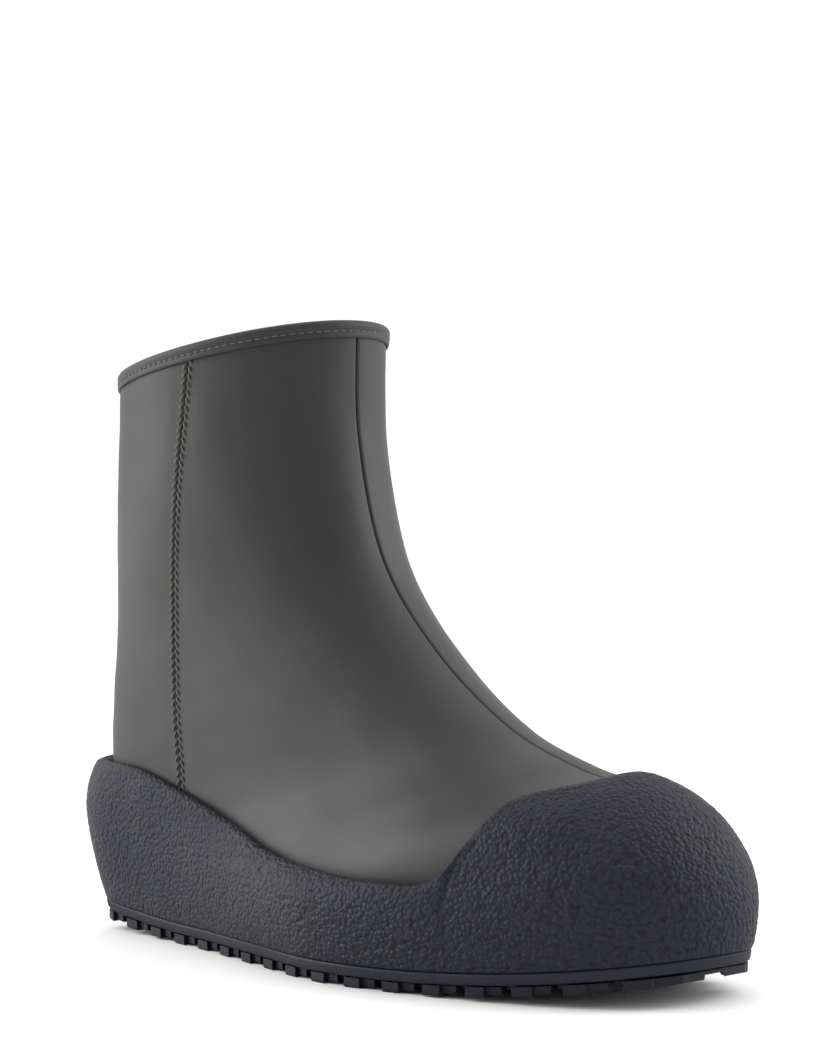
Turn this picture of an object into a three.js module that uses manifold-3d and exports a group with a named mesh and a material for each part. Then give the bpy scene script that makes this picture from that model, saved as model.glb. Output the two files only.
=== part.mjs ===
// Right-foot ankle boot: a leather upper with a zip on its inner side, set in a moulded rubber shell.
// Millimetres. X runs from the outer side (-) to the inner side (+), the toe points to -Y, Z is up.
// Inside the file a place is given as q (distance forward from the heel), x (sideways) and z (height).
import * as THREE from 'three';
import { mergeVertices } from 'three/addons/utils/BufferGeometryUtils.js';
import Module from 'manifold-3d';

const wasm = await Module();
wasm.setup();

// ---- Driving dimensions -------------------------------------------------------------------------
const soleLength = 306;          // rubber shell, heel to toe
const forefootWidth = 121;       // rubber shell at its widest
const shaftHeight = 220.5;       // top of the collar at the front, above the seat of the upper
const gap = 0.3;                 // clearance between pieces that touch

const leatherThickness = 1.8;
const liningThickness = 2.2;
const stiffenerThickness = 1.1;
const bindingThickness = 0.8;
const bindingHeight = 6.5;
const insoleThickness = 2.2;
const footbedThickness = 5;
const fillerThickness = 1.8;
const shankLength = 90;
const shankWidth = 13;
const lastingMargin = 19;        // from the shell's wall to the filler in the sole

const lugHeight = 2.3;
const outsoleBase = 1.3;         // web that joins the lugs
const randHeight = 4.2;
const randWidth = 6;
const lugPitch = 17;
const lugGroove = 5;
const tuckUnder = 4.4;           // how far the shell draws in from its widest line to the rand
const heelTuck = 7.7;            // the same at the heel
const toeTuck = 2;               // and at the toe
const lugInset = 1.2;            // from the rand's face to the lugs
const bulgeHeight = 21;          // from the rand to the widest line of the shell
const heelBulgeRise = 15;        // how much higher that line runs at the heel
const shellWall = 7;             // at the foot of the shell
const rimWall = 4.4;             // at the shell's upper edge
const toeLift = 9.2;
const heelLift = 6;

const zipTeethWidth = 3;         // each row
const zipSlit = 1.2;             // between the rows
const zipTapeWidth = 12;
const zipTapeThickness = 0.6;
const zipSideGap = 0.6;          // from a tooth row to the leather's edge
const zipPitch = 5;
const gussetWidth = 34;

// ---- The pattern: points drawn for a boot of the sample size, then graded to the sizes above -----
const sample = { length: 306, width: 121, height: 220.5 };
const grade = {
  q: soleLength / sample.length,
  x: forefootWidth / sample.width,
  z: shaftHeight / sample.height,
};
const seatBase = lugHeight + outsoleBase + gap + randHeight + gap + 8.5;

// Shell seen from above at its widest line, [q, x], outer side first, from the heel round the toe.
const shellOutline = [
  [0, -3], [2, -20], [8, -33], [20, -39], [45, -41.5], [85, -46.5], [125, -57], [168, -67.5],
  [210, -64.5], [250, -54.5], [282, -38.5], [301, -17.5], [306, 6], [298, 26], [275, 43], [225, 53],
  [175, 50], [125, 45], [80, 42.5], [45, 40.5], [20, 36.5], [6, 24.5], [0.8, 9],
];
// Upper edge of the shell seen from the side, [q, height above the seat].
const shellEdge = [
  [-30, 51], [2, 51], [25, 50.5], [49, 49], [79, 41.5], [111, 33.5], [140, 26.5], [180, 23], [199, 22],
  [216, 22], [227, 27], [235, 41], [242, 52], [259, 58.5], [266, 66],
];
// Highest point of the toe cap.
const toeCapCrown = [254, 60.5];
// Underside of the foot, [q, height above the seat base].
const seatLine = [[-30, 9], [0, 7], [35, 4.4], [70, 3], [150, 0], [215, -1], [262, 1], [340, 7]];

// The upper as a fan of slanted sections. front and back are [q, height above the seat base];
// outer and inner are half-widths; mid is where the section is widest, from back to front; roundness
// is the superellipse exponent of the front and back halves.
const sections = [
  { front: [126.5, 246], back: [12.5, 224], outer: 43.3, inner: 43.3, mid: 0.5, round: [2.1, 2.1] },
  { front: [127.5, 220.5], back: [11, 199], outer: 43, inner: 43, mid: 0.5, round: [2.1, 2.1] },
  { front: [128.5, 177], back: [8, 148], outer: 42.5, inner: 42.6, mid: 0.5, round: [2.1, 2.1] },
  { front: [141.5, 131], back: [8.5, 100.5], outer: 40, inner: 41.5, mid: 0.48, round: [2.2, 2.4] },
  { front: [170, 97], back: [5.5, 55], outer: 39.8, inner: 41, mid: 0.46, round: [2.35, 2.6] },
  { front: [206, 71.5], back: [10, 11], outer: 40.5, inner: 38.5, mid: 0.45, round: [2.5, 2.6] },
  { front: [238, 59.5], back: [70, 3], outer: 49, inner: 41, mid: 0.42, round: [2.4, 2.6] },
  { front: [260, 55], back: [150, 0], outer: 55, inner: 44, mid: 0.38, round: [2.3, 3.4] },
  { front: [272, 50.5], back: [215, -1], outer: 50, inner: 43.5, mid: 0.34, round: [2.3, 4] },
  { front: [283, 41], back: [262, 1], outer: 35, inner: 35, mid: 0.34, round: [2.2, 4] },
  { front: [291.5, 33], back: [284, 6], outer: 22, inner: 26, mid: 0.4, round: [2.3, 3] },
  { front: [297, 27], back: [294, 11], outer: 11, inner: 17, mid: 0.5, round: [2.2, 2.2] },
];
const collarRow = 1;
const tipRow = 9;                // from here on the sections close the toe
// Side seam seen from the side, [q, height above the seat]; the zip lies opposite, on a straight line.
const sideSeam = [[81, 240], [79.5, 205], [69.5, 130], [69, 80], [72, 43], [76, -20]];
const zipQ = 77;
const zipFoot = 66;              // lower end of the zip's opening, above the seat base

const sectionSteps = 20;
const ringSteps = 12;            // per side

// ---- Curves ------------------------------------------------------------------------------------
const lerp = THREE.MathUtils.lerp;
const clamp = THREE.MathUtils.clamp;
const smooth = THREE.MathUtils.smoothstep;

function catmull(a, b, c, d, f) {
  const linear = c - a;
  const square = 2 * a - 5 * b + 4 * c - d;
  const cube = 3 * b - 3 * c + d - a;
  return 0.5 * (2 * b + linear * f + square * f * f + cube * f * f * f);
}

// Value of a list of numbers at a fractional index, with straight ends.
function along(values, t) {
  const last = values.length - 1;
  const i = clamp(Math.floor(t), 0, last - 1);
  const before = i > 0 ? values[i - 1] : 2 * values[0] - values[1];
  const after = i + 2 <= last ? values[i + 2] : 2 * values[last] - values[last - 1];
  return catmull(before, values[i], values[i + 1], after, t - i);
}

// Smooth curve through [q, z] points, sampled at steps per span.
function curve(points, steps) {
  const spans = points.length - 1;
  const qs = points.map((p) => p[0]);
  const zs = points.map((p) => p[1]);
  const out = [];
  for (let i = 0; i <= spans * steps; i += 1) {
    out.push([along(qs, i / steps), along(zs, i / steps)]);
  }
  return out;
}

function heightOn(line, q) {
  const i = clamp(line.findIndex((p) => p[0] > q), 1, line.length - 1);
  const [q0, z0] = line[i - 1];
  const [q1, z1] = line[i];
  return lerp(z0, z1, (q - q0) / (q1 - q0));
}

const graded = (points) => points.map(([q, z]) => [q * grade.q, seatBase + z * grade.z]);
const edgeLine = curve(graded(shellEdge), 4);
const seamLine = curve(graded(sideSeam), 6);
const seatCurve = curve(seatLine.map(([q, z]) => [q * grade.q, seatBase + z]), 4);

// How far the sole lifts off the floor at the toe and the heel.
function lift(q) {
  const toe = clamp((q / grade.q - 190) / (sample.length - 190), 0, 2);
  const heel = clamp((80 - q / grade.q) / 80, 0, 2);
  return toeLift * toe * toe + heelLift * heel * heel;
}

// How far the shell draws in above the rand, and how much its widest line rises at the heel.
function tuck(q) {
  const heel = (heelTuck - tuckUnder) * (1 - smooth(q / grade.q, 15, 100));
  const toe = (tuckUnder - toeTuck) * smooth(q / grade.q, 200, 300);
  return tuckUnder + heel - toe;
}
const bulgeRise = (q) => heelBulgeRise * (1 - smooth(q / grade.q, 15, 120));

const worldY = (q) => soleLength / 2 - q;

// ---- Solids ------------------------------------------------------------------------------------
function signedVolume(position, index) {
  const a = new THREE.Vector3();
  const b = new THREE.Vector3();
  const c = new THREE.Vector3();
  let sum = 0;
  for (let i = 0; i < index.length; i += 3) {
    a.fromArray(position, 3 * index[i]);
    b.fromArray(position, 3 * index[i + 1]);
    c.fromArray(position, 3 * index[i + 2]);
    sum += a.dot(b.cross(c));
  }
  return sum;
}

function solidFrom(position, index) {
  const triangles = Uint32Array.from(index);
  if (signedVolume(position, index) < 0) {
    triangles.reverse();
  }
  const vertices = Float32Array.from(position);
  const mesh = new wasm.Mesh({ numProp: 3, vertProperties: vertices, triVerts: triangles });
  return new wasm.Manifold(mesh);
}

function solidOf(geometry) {
  geometry.deleteAttribute('normal');
  geometry.deleteAttribute('uv');
  const merged = mergeVertices(geometry, 1e-4);
  return solidFrom(Array.from(merged.attributes.position.array), Array.from(merged.index.array));
}

// Rings of equal length, closed at both ends by a fan to each ring's middle.
function loft(rings) {
  const count = rings[0].length;
  const position = rings.flat(2);
  const index = [];
  for (let r = 0; r + 1 < rings.length; r += 1) {
    for (let i = 0; i < count; i += 1) {
      const j = (i + 1) % count;
      const [a, b, c, d] = [r * count + i, r * count + j, (r + 1) * count + j, (r + 1) * count + i];
      index.push(a, b, c, a, c, d);
    }
  }
  [rings[0], rings[rings.length - 1]].forEach((ring, end) => {
    const centre = [0, 1, 2].map((k) => ring.reduce((sum, p) => sum + p[k], 0) / count);
    const start = end * (rings.length - 1) * count;
    const middle = position.length / 3;
    position.push(...centre);
    for (let i = 0; i < count; i += 1) {
      const j = (i + 1) % count;
      index.push(middle, start + (end ? i : j), start + (end ? j : i));
    }
  });
  return solidFrom(position, index);
}

// A region drawn in side view as [q, z] points, extruded from x0 to x1.
function sidePrism(points, x0 = -200, x1 = 200) {
  const shape = new THREE.Shape(points.map(([q, z]) => new THREE.Vector2(q, z)));
  const geometry = new THREE.ExtrudeGeometry(shape, { depth: x1 - x0, bevelEnabled: false });
  const place = new THREE.Matrix4().set(0, 0, 1, x0, -1, 0, 0, soleLength / 2, 0, 1, 0, 0, 0, 0, 0, 1);
  geometry.applyMatrix4(place);
  return solidOf(geometry);
}

// A region drawn from above as [q, x] points, extruded from z0 to z1.
function planPrism(points, z0, z1) {
  const shape = new THREE.Shape(points.map(([q, x]) => new THREE.Vector2(x, worldY(q))));
  const geometry = new THREE.ExtrudeGeometry(shape, { depth: z1 - z0, bevelEnabled: false });
  geometry.translate(0, 0, z0);
  return solidOf(geometry);
}

// The space in side view between two heights that may change along the boot.
function layer(lower, upper, from = -20, to = soleLength + 20, steps = 30) {
  const points = [];
  for (let i = 0; i <= steps; i += 1) {
    const q = lerp(from, to, i / steps);
    points.push([q, lower(q)]);
  }
  for (let i = steps; i >= 0; i -= 1) {
    const q = lerp(from, to, i / steps);
    points.push([q, upper(q)]);
  }
  return sidePrism(points);
}

function rectangle(q0, q1, z0, z1, x0, x1) {
  return sidePrism([[q0, z0], [q1, z0], [q1, z1], [q0, z1]], x0, x1);
}

// ---- The upper's skin, at a depth below its outer surface ----------------------------------------
function sectionAt(t) {
  const pick = (get) => along(sections.map(get), t);
  return {
    front: [pick((s) => s.front[0]) * grade.q, seatBase + pick((s) => s.front[1]) * grade.z],
    back: [pick((s) => s.back[0]) * grade.q, seatBase + pick((s) => s.back[1]) * (t < 5 ? grade.z : 1)],
    outer: pick((s) => s.outer) * grade.x,
    inner: pick((s) => s.inner) * grade.x,
    mid: pick((s) => s.mid),
    round: [pick((s) => s.round[0]), pick((s) => s.round[1])],
  };
}

// Front or back point of a section, moved inward square to the line that those points follow.
function sunkPoint(t, end, depth) {
  const step = 0.05;
  const here = sectionAt(t)[end];
  const ahead = sectionAt(t + step)[end];
  const behind = sectionAt(t - step)[end];
  const run = new THREE.Vector2(ahead[0] - behind[0], ahead[1] - behind[1]).normalize();
  const turn = end === 'front' ? 1 : -1;
  const toeShift = depth * smooth(t, tipRow, sections.length - 1);
  return [here[0] + turn * run.y * depth - toeShift, here[1] - turn * run.x * depth];
}

function ringAt(t, depth) {
  const section = sectionAt(t);
  const front = sunkPoint(t, 'front', depth);
  const back = sunkPoint(t, 'back', depth);
  const ring = [];
  for (let i = 0; i < 2 * ringSteps; i += 1) {
    const angle = (Math.PI * i) / ringSteps;
    const half = Math.abs(Math.cos(angle)) < 1e-9 || Math.cos(angle) > 0 ? 0 : 1;
    const power = 2 / section.round[half];
    const rise = Math.abs(Math.cos(angle)) ** power;
    const a = half ? section.mid * (1 - rise) : section.mid + (1 - section.mid) * rise;
    const width = angle <= Math.PI ? depth - section.outer : section.inner - depth;
    const x = width * Math.abs(Math.sin(angle)) ** power;
    ring.push([x, worldY(lerp(back[0], front[0], a)), lerp(back[1], front[1], a)]);
  }
  return ring;
}

function skin(depth) {
  const rings = [];
  for (let i = 0; i <= sectionSteps; i += 1) {
    rings.push(ringAt(((sections.length - 1) * i) / sectionSteps, depth));
  }
  return loft(rings);
}

const sectionTable = [];
for (let i = 0; i <= 20 * (sections.length - 1); i += 1) {
  sectionTable.push(sectionAt(i / 20));
}

// Whether a place lies inside the upper's outer surface.
function insideUpper(q, x, z) {
  const side = ({ front: [fq, fz], back: [bq, bz] }) => (fq - bq) * (z - bz) - (fz - bz) * (q - bq);
  const i = sectionTable.findIndex((s, k) => k > 0 && side(sectionTable[k - 1]) < 0 !== side(s) < 0);
  if (i < 0) {
    return false;
  }
  const { front, back, outer, inner, mid, round } = sectionTable[i];
  const run = (front[0] - back[0]) ** 2 + (front[1] - back[1]) ** 2;
  const a = ((q - back[0]) * (front[0] - back[0]) + (z - back[1]) * (front[1] - back[1])) / run;
  const power = a > mid ? round[0] : round[1];
  const reach = a > mid ? (a - mid) / (1 - mid) : (mid - a) / mid;
  const width = x < 0 ? outer : inner;
  return reach < 1 && Math.abs(x / width) ** power + reach ** power < 1;
}

// Skins are asked for by depth more than once, so each is made once.
const skins = new Map();
function upperTo(depth) {
  const key = depth.toFixed(3);
  if (!skins.has(key)) {
    skins.set(key, skin(depth));
  }
  return skins.get(key);
}
const wallBetween = (outer, inner) => upperTo(outer).subtract(upperTo(inner));

// ---- Outline of the sole -------------------------------------------------------------------------
const outlineSteps = 2;
function shellPlan() {
  const qs = shellOutline.map((p) => p[0] * grade.q);
  const xs = shellOutline.map((p) => p[1] * grade.x);
  const n = qs.length;
  const wrapped = (values, i) => values[(i + n) % n];
  const span = (values, i, f) => {
    const near = [-1, 0, 1, 2].map((k) => wrapped(values, i + k));
    return catmull(...near, f);
  };
  const points = [];
  for (let i = 0; i < n; i += 1) {
    for (let k = 0; k < outlineSteps; k += 1) {
      points.push([span(qs, i, k / outlineSteps), span(xs, i, k / outlineSteps)]);
    }
  }
  return points;
}
const plan = shellPlan();

// Outward direction at each point of the plan.
const outward = plan.map((p, i) => {
  const before = plan[(i + plan.length - 1) % plan.length];
  const after = plan[(i + 1) % plan.length];
  return new THREE.Vector2(-(after[1] - before[1]), after[0] - before[0]).normalize().negate();
});
// The plan drawn in by a distance that depends on q. Points that a corner throws back are left out.
const planLoop = plan.map(([q, x]) => new THREE.Vector3(q, x, 0));
function distanceToPlan(q, x) {
  const here = new THREE.Vector3(q, x, 0);
  const nearest = new THREE.Vector3();
  const distances = planLoop.map((point, i) => {
    const side = new THREE.Line3(point, planLoop[(i + 1) % planLoop.length]);
    return side.closestPointToPoint(here, true, nearest).distanceTo(here);
  });
  return Math.min(...distances);
}
const shortestSide = 0.8;
function insetPlan(inset) {
  const insets = plan.map(([q]) => (typeof inset === 'function' ? inset(q) : inset));
  const moved = plan.map(([q, x], i) => [q - outward[i].x * insets[i], x - outward[i].y * insets[i]]);
  const clear = moved.filter(([q, x], i) => distanceToPlan(q, x) > insets[i] * 0.97 - 0.05);
  return clear.filter(([q, x], i) => {
    const [q0, x0] = clear[(i + clear.length - 1) % clear.length];
    return Math.hypot(q - q0, x - x0) > shortestSide;
  });
}

// Heights of the sole's layers above the floor, before the lift at toe and heel.
const lugTop = lugHeight;
const outsoleTop = lugHeight + outsoleBase;
const randFoot = outsoleTop + gap;
const randTop = randFoot + randHeight;
const shellFoot = randTop + gap;
const raised = (height) => (q) => height + lift(q);
const seat = (offset) => (q) => heightOn(seatCurve, q) + offset;

const insoleFoot = leatherThickness + gap;
const liningFoot = insoleFoot + insoleThickness + gap;

// ---- Depths of the upper's layers ---------------------------------------------------------------
const liningFace = leatherThickness + gap;
const liningInside = liningFace + liningThickness;
const stiffenerInside = liningFace + stiffenerThickness;

function collarLine(offset) {
  const [back, front] = [sectionAt(collarRow).back, sectionAt(collarRow).front];
  const slope = (front[1] - back[1]) / (front[0] - back[0]);
  return (q) => back[1] + slope * (q - back[0]) + offset;
}
const floor = () => -40;
const sky = () => 400;
const panelTop = -(bindingThickness + gap);
const belowCollar = (offset) => layer(floor, collarLine(offset), -60, soleLength + 60, 2);

// ---- Regions in side view ------------------------------------------------------------------------
const behindSeam = (offset) => {
  const edge = seamLine.map(([q, z]) => [q + offset, z]);
  return sidePrism([[-60, edge[0][1]], ...edge, [-60, edge[edge.length - 1][1]]]);
};
const aheadOfSeam = (offset) => {
  const edge = seamLine.map(([q, z]) => [q + offset, z]);
  const ahead = soleLength + 60;
  return sidePrism([[ahead, edge[0][1]], ...edge, [ahead, edge[edge.length - 1][1]]]);
};
const outerSide = sidePrism([[-60, -60], [400, -60], [400, 400], [-60, 400]], -200, -gap / 2);
const innerSide = sidePrism([[-60, -60], [400, -60], [400, 400], [-60, 400]], gap / 2, 200);

const zipCentre = zipQ * grade.q;
const zipLow = seatBase + zipFoot * grade.z;
const zipStrip = (half, low) => rectangle(zipCentre - half, zipCentre + half, low, 400, 1, 200);
const zipOpening = zipSlit / 2 + zipTeethWidth + zipSideGap;

// ---- Upper ---------------------------------------------------------------------------------------
function leather() {
  const window = planPrism(insetPlan(shellWall + lastingMargin), -10, seatBase + 14);
  return wallBetween(0, leatherThickness)
    .intersect(belowCollar(panelTop))
    .subtract(window)
    .subtract(zipStrip(zipOpening, zipLow));
}

function lining() {
  const tape = zipStrip(zipSlit / 2 + zipTapeWidth + gap, zipLow - gap);
  return wallBetween(liningFace, liningInside)
    .intersect(belowCollar(panelTop))
    .intersect(layer(seat(liningFoot), sky))
    .subtract(tape)
    .subtract(stiffenerRoom());
}

const counterHeight = 50.5;
const counterLength = 62.5;
const puffStart = 247;
const counterRegion = (grow) => layer(
  seat(liningFoot - grow),
  () => seatBase + counterHeight * grade.z + grow,
  -60,
  counterLength * grade.q + grow,
);
const puffRegion = (grow) => layer(seat(liningFoot + 8 - grow), sky, puffStart * grade.q - grow, 400);

function stiffenerRoom() {
  const room = wallBetween(leatherThickness, stiffenerInside + gap);
  return room.intersect(counterRegion(gap).add(puffRegion(gap)));
}

const heelCounter = () => wallBetween(liningFace, stiffenerInside).intersect(counterRegion(0));
const toePuff = () => wallBetween(liningFace, stiffenerInside).intersect(puffRegion(0));

function collarBinding() {
  const band = layer(collarLine(-bindingHeight), collarLine(0), -60, soleLength + 60, 2);
  const room = wallBetween(-gap, liningInside + gap).intersect(belowCollar(-bindingThickness));
  return wallBetween(-gap - bindingThickness, liningInside + gap + bindingThickness)
    .intersect(band)
    .subtract(room)
    .subtract(zipStrip(zipOpening, zipLow));
}

// ---- Zip -----------------------------------------------------------------------------------------
const zipTapeTop = collarLine(panelTop);
const zipHigh = zipTapeTop(zipCentre) - 3.2;
const toothFace = 42.6 * grade.x;
const stopHeight = 2.4;
const zipStopFoot = zipLow + 1;
const teethFoot = zipStopFoot + 4 + gap;

function zipTape(side) {
  const inner = zipCentre + (side * zipSlit) / 2;
  const outer = zipCentre + side * (zipSlit / 2 + zipTapeWidth);
  const strip = rectangle(Math.min(inner, outer), Math.max(inner, outer), zipLow, 400, 1, 200);
  return wallBetween(liningFace, liningFace + zipTapeThickness)
    .intersect(strip)
    .intersect(belowCollar(panelTop));
}

function zipTeeth(side) {
  const inner = zipCentre + (side * zipSlit) / 2;
  const root = inner + side * zipTeethWidth;
  const tip = inner + side * zipTeethWidth * 0.25;
  const count = Math.floor((zipHigh - teethFoot) / zipPitch);
  const points = [[root, teethFoot]];
  for (let i = 0; i < count; i += 1) {
    const z = teethFoot + i * zipPitch;
    points.push([inner, z], [inner, z + zipPitch * 0.6]);
    points.push([tip, z + zipPitch * 0.65], [tip, z + zipPitch * 0.95]);
  }
  points.push([root, teethFoot + count * zipPitch]);
  return sidePrism(points, 20, toothFace).subtract(upperTo(leatherThickness));
}

function zipTopStop(side) {
  const near = zipCentre + side * (zipSlit / 2);
  const far = near + side * zipTeethWidth;
  const foot = zipHigh + gap;
  const sides = [Math.min(near, far), Math.max(near, far)];
  const block = rectangle(...sides, foot, foot + stopHeight, 20, toothFace);
  return block.subtract(upperTo(leatherThickness));
}

function zipBottomStop() {
  const half = zipSlit / 2 + zipTeethWidth;
  const sides = [zipCentre - half, zipCentre + half];
  const block = rectangle(...sides, zipStopFoot, teethFoot - gap, 20, toothFace + 0.4);
  return block.subtract(upperTo(leatherThickness));
}

function zipGusset() {
  const face = liningInside + gap;
  return wallBetween(face, face + bindingThickness)
    .intersect(zipStrip(gussetWidth / 2, zipLow - 6))
    .intersect(belowCollar(-bindingHeight - gap));
}

// Slider, with its plate outside the teeth, a thin post in the slit and a bridge for the puller.
const sliderLength = 12;
const sliderWidth = 2 * (zipSlit / 2 + zipTeethWidth) + 0.6;
const sliderPlate = 1.4;
const bridgeRoom = 1.6;
const bridgeHalf = 5;
const bridgeFoot = 1.4;
const bridgeThickness = 1.2;
const bridgeWidth = 1.6;
const sliderMiddle = zipHigh - sliderLength / 2 - 0.6;
const plateFace = toothFace + gap + sliderPlate;
const postHalf = 2.5;
const postDepth = 1.2;
const pinThickness = 1;
const pinX = plateFace + gap + pinThickness / 2;
const pinZ = sliderMiddle - 2.2;

function zipSlider() {
  const half = sliderLength / 2;
  const nose = 1.6;
  const outline = [
    [-sliderWidth / 2 + nose, -half], [sliderWidth / 2 - nose, -half], [sliderWidth / 2, nose],
    [sliderWidth / 2, half - nose], [sliderWidth / 2 - nose, half], [-sliderWidth / 2 + nose, half],
    [-sliderWidth / 2, half - nose], [-sliderWidth / 2, nose],
  ].map(([q, z]) => [zipCentre + q, sliderMiddle + z]);
  const plate = sidePrism(outline, toothFace + gap, plateFace);
  const post = rectangle(
    zipCentre - gap,
    zipCentre + gap,
    sliderMiddle - postHalf,
    sliderMiddle + postHalf,
    toothFace - postDepth,
    plateFace - 0.2,
  );
  const arch = [
    [-bridgeHalf, -0.2], [-bridgeHalf, bridgeRoom], [-bridgeHalf + 1, bridgeRoom + bridgeThickness],
    [bridgeHalf - 1, bridgeRoom + bridgeThickness], [bridgeHalf, bridgeRoom], [bridgeHalf, -0.2],
    [bridgeHalf - bridgeFoot, -0.2], [bridgeHalf - bridgeFoot, bridgeRoom],
    [bridgeFoot - bridgeHalf, bridgeRoom], [bridgeFoot - bridgeHalf, -0.2],
  ];
  const shape = new THREE.Shape(arch.map(([z, x]) => new THREE.Vector2(z, x)));
  const geometry = new THREE.ExtrudeGeometry(shape, { depth: bridgeWidth, bevelEnabled: false });
  const turn = new THREE.Matrix4().set(
    0, 1, 0, plateFace,
    0, 0, 1, worldY(zipCentre) - bridgeWidth / 2,
    1, 0, 0, sliderMiddle,
    0, 0, 0, 1,
  );
  geometry.applyMatrix4(turn);
  return plate.add(post).add(solidOf(geometry));
}

function zipPuller() {
  const loop = [
    [-3, 0.5], [3, 0.5], [3, -6], [2.6, -8], [3.6, -24],
    [2.6, -26], [-2.6, -26], [-3.6, -24], [-2.6, -8], [-3, -6],
  ];
  const shape = new THREE.Shape(loop.map(([q, z]) => new THREE.Vector2(q, z)));
  const slot = [[-1.5, -0.5], [-1.5, -5.4], [1.5, -5.4], [1.5, -0.5]];
  const eye = new THREE.Path(slot.map(([q, z]) => new THREE.Vector2(q, z)));
  const rim = [];
  const rimSides = 10;
  const rimRadius = 1.6;
  for (let i = 0; i < rimSides; i += 1) {
    const angle = (2 * Math.PI * i) / rimSides;
    rim.push(new THREE.Vector2(rimRadius * Math.cos(angle), rimRadius * Math.sin(angle) - 21.5));
  }
  shape.holes.push(eye, new THREE.Path(rim));
  const geometry = new THREE.ExtrudeGeometry(shape, { depth: pinThickness, bevelEnabled: false });
  const place = new THREE.Matrix4().set(
    0, 0, 1, pinX - pinThickness / 2,
    -1, 0, 0, worldY(zipCentre),
    0, 1, 0, pinZ,
    0, 0, 0, 1,
  );
  geometry.applyMatrix4(place);
  return solidOf(geometry);
}

// ---- Rubber shell --------------------------------------------------------------------------------
// One rib of the shell's outer face for each point of the plan, from below the rand up over the boot.
const ribRise = [0.12, 0.3, 0.5, 0.7, 0.85, 1];
const domeTurns = [0.1, 0.25, 0.45, 0.65, 0.85, 1];
const domeRound = 1.9;
const leastWall = 2.5;

function wallAt(point, direction, z) {
  const step = 0.25;
  for (let d = 0; d < 45; d += step) {
    if (insideUpper(point[0] - direction.x * d, point[1] - direction.y * d, z)) {
      return d;
    }
  }
  return 0;
}

// Moves a place outward until it lies the least wall's thickness outside the upper.
function keepClear(point, crown) {
  const middle = [Math.min(point[0], crown[0] - 40), 0, seatBase + 18];
  const away = new THREE.Vector3(...point.map((value, axis) => value - middle[axis])).normalize();
  const step = 0.25;
  for (let d = 0; d < 30; d += step) {
    const moved = point.map((value, axis) => value + away.getComponent(axis) * d);
    const probe = moved.map((value, axis) => value - away.getComponent(axis) * leastWall);
    if (!insideUpper(...probe)) {
      return moved;
    }
  }
  return point;
}

function shellRib(i) {
  const [q, x] = plan[i];
  const direction = outward[i];
  const bulge = shellFoot + bulgeHeight + lift(q) + bulgeRise(q);
  const edge = Math.max(heightOn(edgeLine, clamp(q, 0, 216 * grade.q)), bulge + 6);
  const taper = wallAt([q, x], direction, edge - 1) - rimWall;
  const toward = (inset, z) => [q - direction.x * inset, x - direction.y * inset, z];
  const rib = [toward(tuck(q), -12), toward(tuck(q), shellFoot + lift(q))];
  const slope = 2 - 0.5 * (bulgeRise(q) / heelBulgeRise);
  [0.7, 0.35].forEach((f) => rib.push(toward(tuck(q) * f ** slope, lerp(bulge, shellFoot + lift(q), f))));
  rib.push(toward(0, bulge));
  const crown = [toeCapCrown[0] * grade.q, 0, seatBase + toeCapCrown[1] * grade.z];
  const dome = smooth(q / grade.q, 186, 222);
  ribRise.forEach((f, k) => {
    const wall = toward(taper * f * f, lerp(bulge, edge + 3, f));
    const turn = (domeTurns[k] * Math.PI) / 2 * 0.98;
    const reach = 1 - Math.cos(turn) ** (2 / domeRound);
    const rise = Math.sin(turn) ** (2 / domeRound);
    const cap = [lerp(q, crown[0], reach), lerp(x, crown[1], reach), lerp(bulge, crown[2], rise)];
    const point = [0, 1, 2].map((axis) => lerp(wall[axis], cap[axis], dome));
    rib.push(keepClear(point, crown));
  });
  return rib;
}

function shellBody() {
  const ribs = plan.map((point, i) => shellRib(i));
  const place = ([q, x, z]) => [x, worldY(q), z];
  return loft(ribs[0].map((first, k) => ribs.map((rib) => place(rib[k]))));
}

function shellRegion() {
  const start = -20;
  const foot = [];
  for (let i = 0; i <= 30; i += 1) {
    const q = lerp(soleLength + 20, start, i / 30);
    foot.push([q, shellFoot + lift(q)]);
  }
  const rim = edgeLine.filter(([q]) => q > start);
  const end = rim[rim.length - 1];
  return sidePrism([...rim, [end[0], 200], [soleLength + 20, 200], ...foot]);
}

const midsoleRise = 6;
const wallInset = (more) => (q) => shellWall + tuck(q) - tuckUnder + more;
function rubberShell() {
  const core = planPrism(insetPlan(wallInset(0)), -10, 60)
    .intersect(layer(floor, seat(midsoleRise + gap)));
  return shellBody().intersect(shellRegion()).subtract(upperTo(-gap)).subtract(core);
}

function midsole() {
  return planPrism(insetPlan(wallInset(gap)), -10, 60)
    .intersect(layer(raised(shellFoot), seat(midsoleRise)))
    .subtract(upperTo(-gap));
}

// ---- Sole ----------------------------------------------------------------------------------------
const randProud = 0.6;           // how far the rand stands out from the shell's foot
const soleInset = (more) => (q) => tuck(q) - randProud + more;
function randStrip() {
  const ring = planPrism(insetPlan(soleInset(0)), -10, 60)
    .subtract(planPrism(insetPlan(soleInset(randWidth)), -20, 70));
  return ring.intersect(layer(raised(randFoot), raised(randTop)));
}

function treadGrooves() {
  let grooves;
  const count = Math.floor((soleLength - 2 * tuckUnder) / lugPitch);
  const start = (soleLength - count * lugPitch) / 2;
  const top = lugTop + toeLift + heelLift;
  for (let i = 0; i <= count; i += 1) {
    const q = start + i * lugPitch;
    const bar = rectangle(q - lugGroove / 2, q + lugGroove / 2, -20, lugTop + lift(q), -200, 200);
    grooves = grooves ? grooves.add(bar) : bar;
  }
  [-18, 18].forEach((x) => {
    const channel = rectangle(-20, soleLength + 20, -20, top, x - 2, x + 2);
    grooves = grooves.add(channel.intersect(layer(floor, raised(lugTop))));
  });
  return grooves;
}

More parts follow.
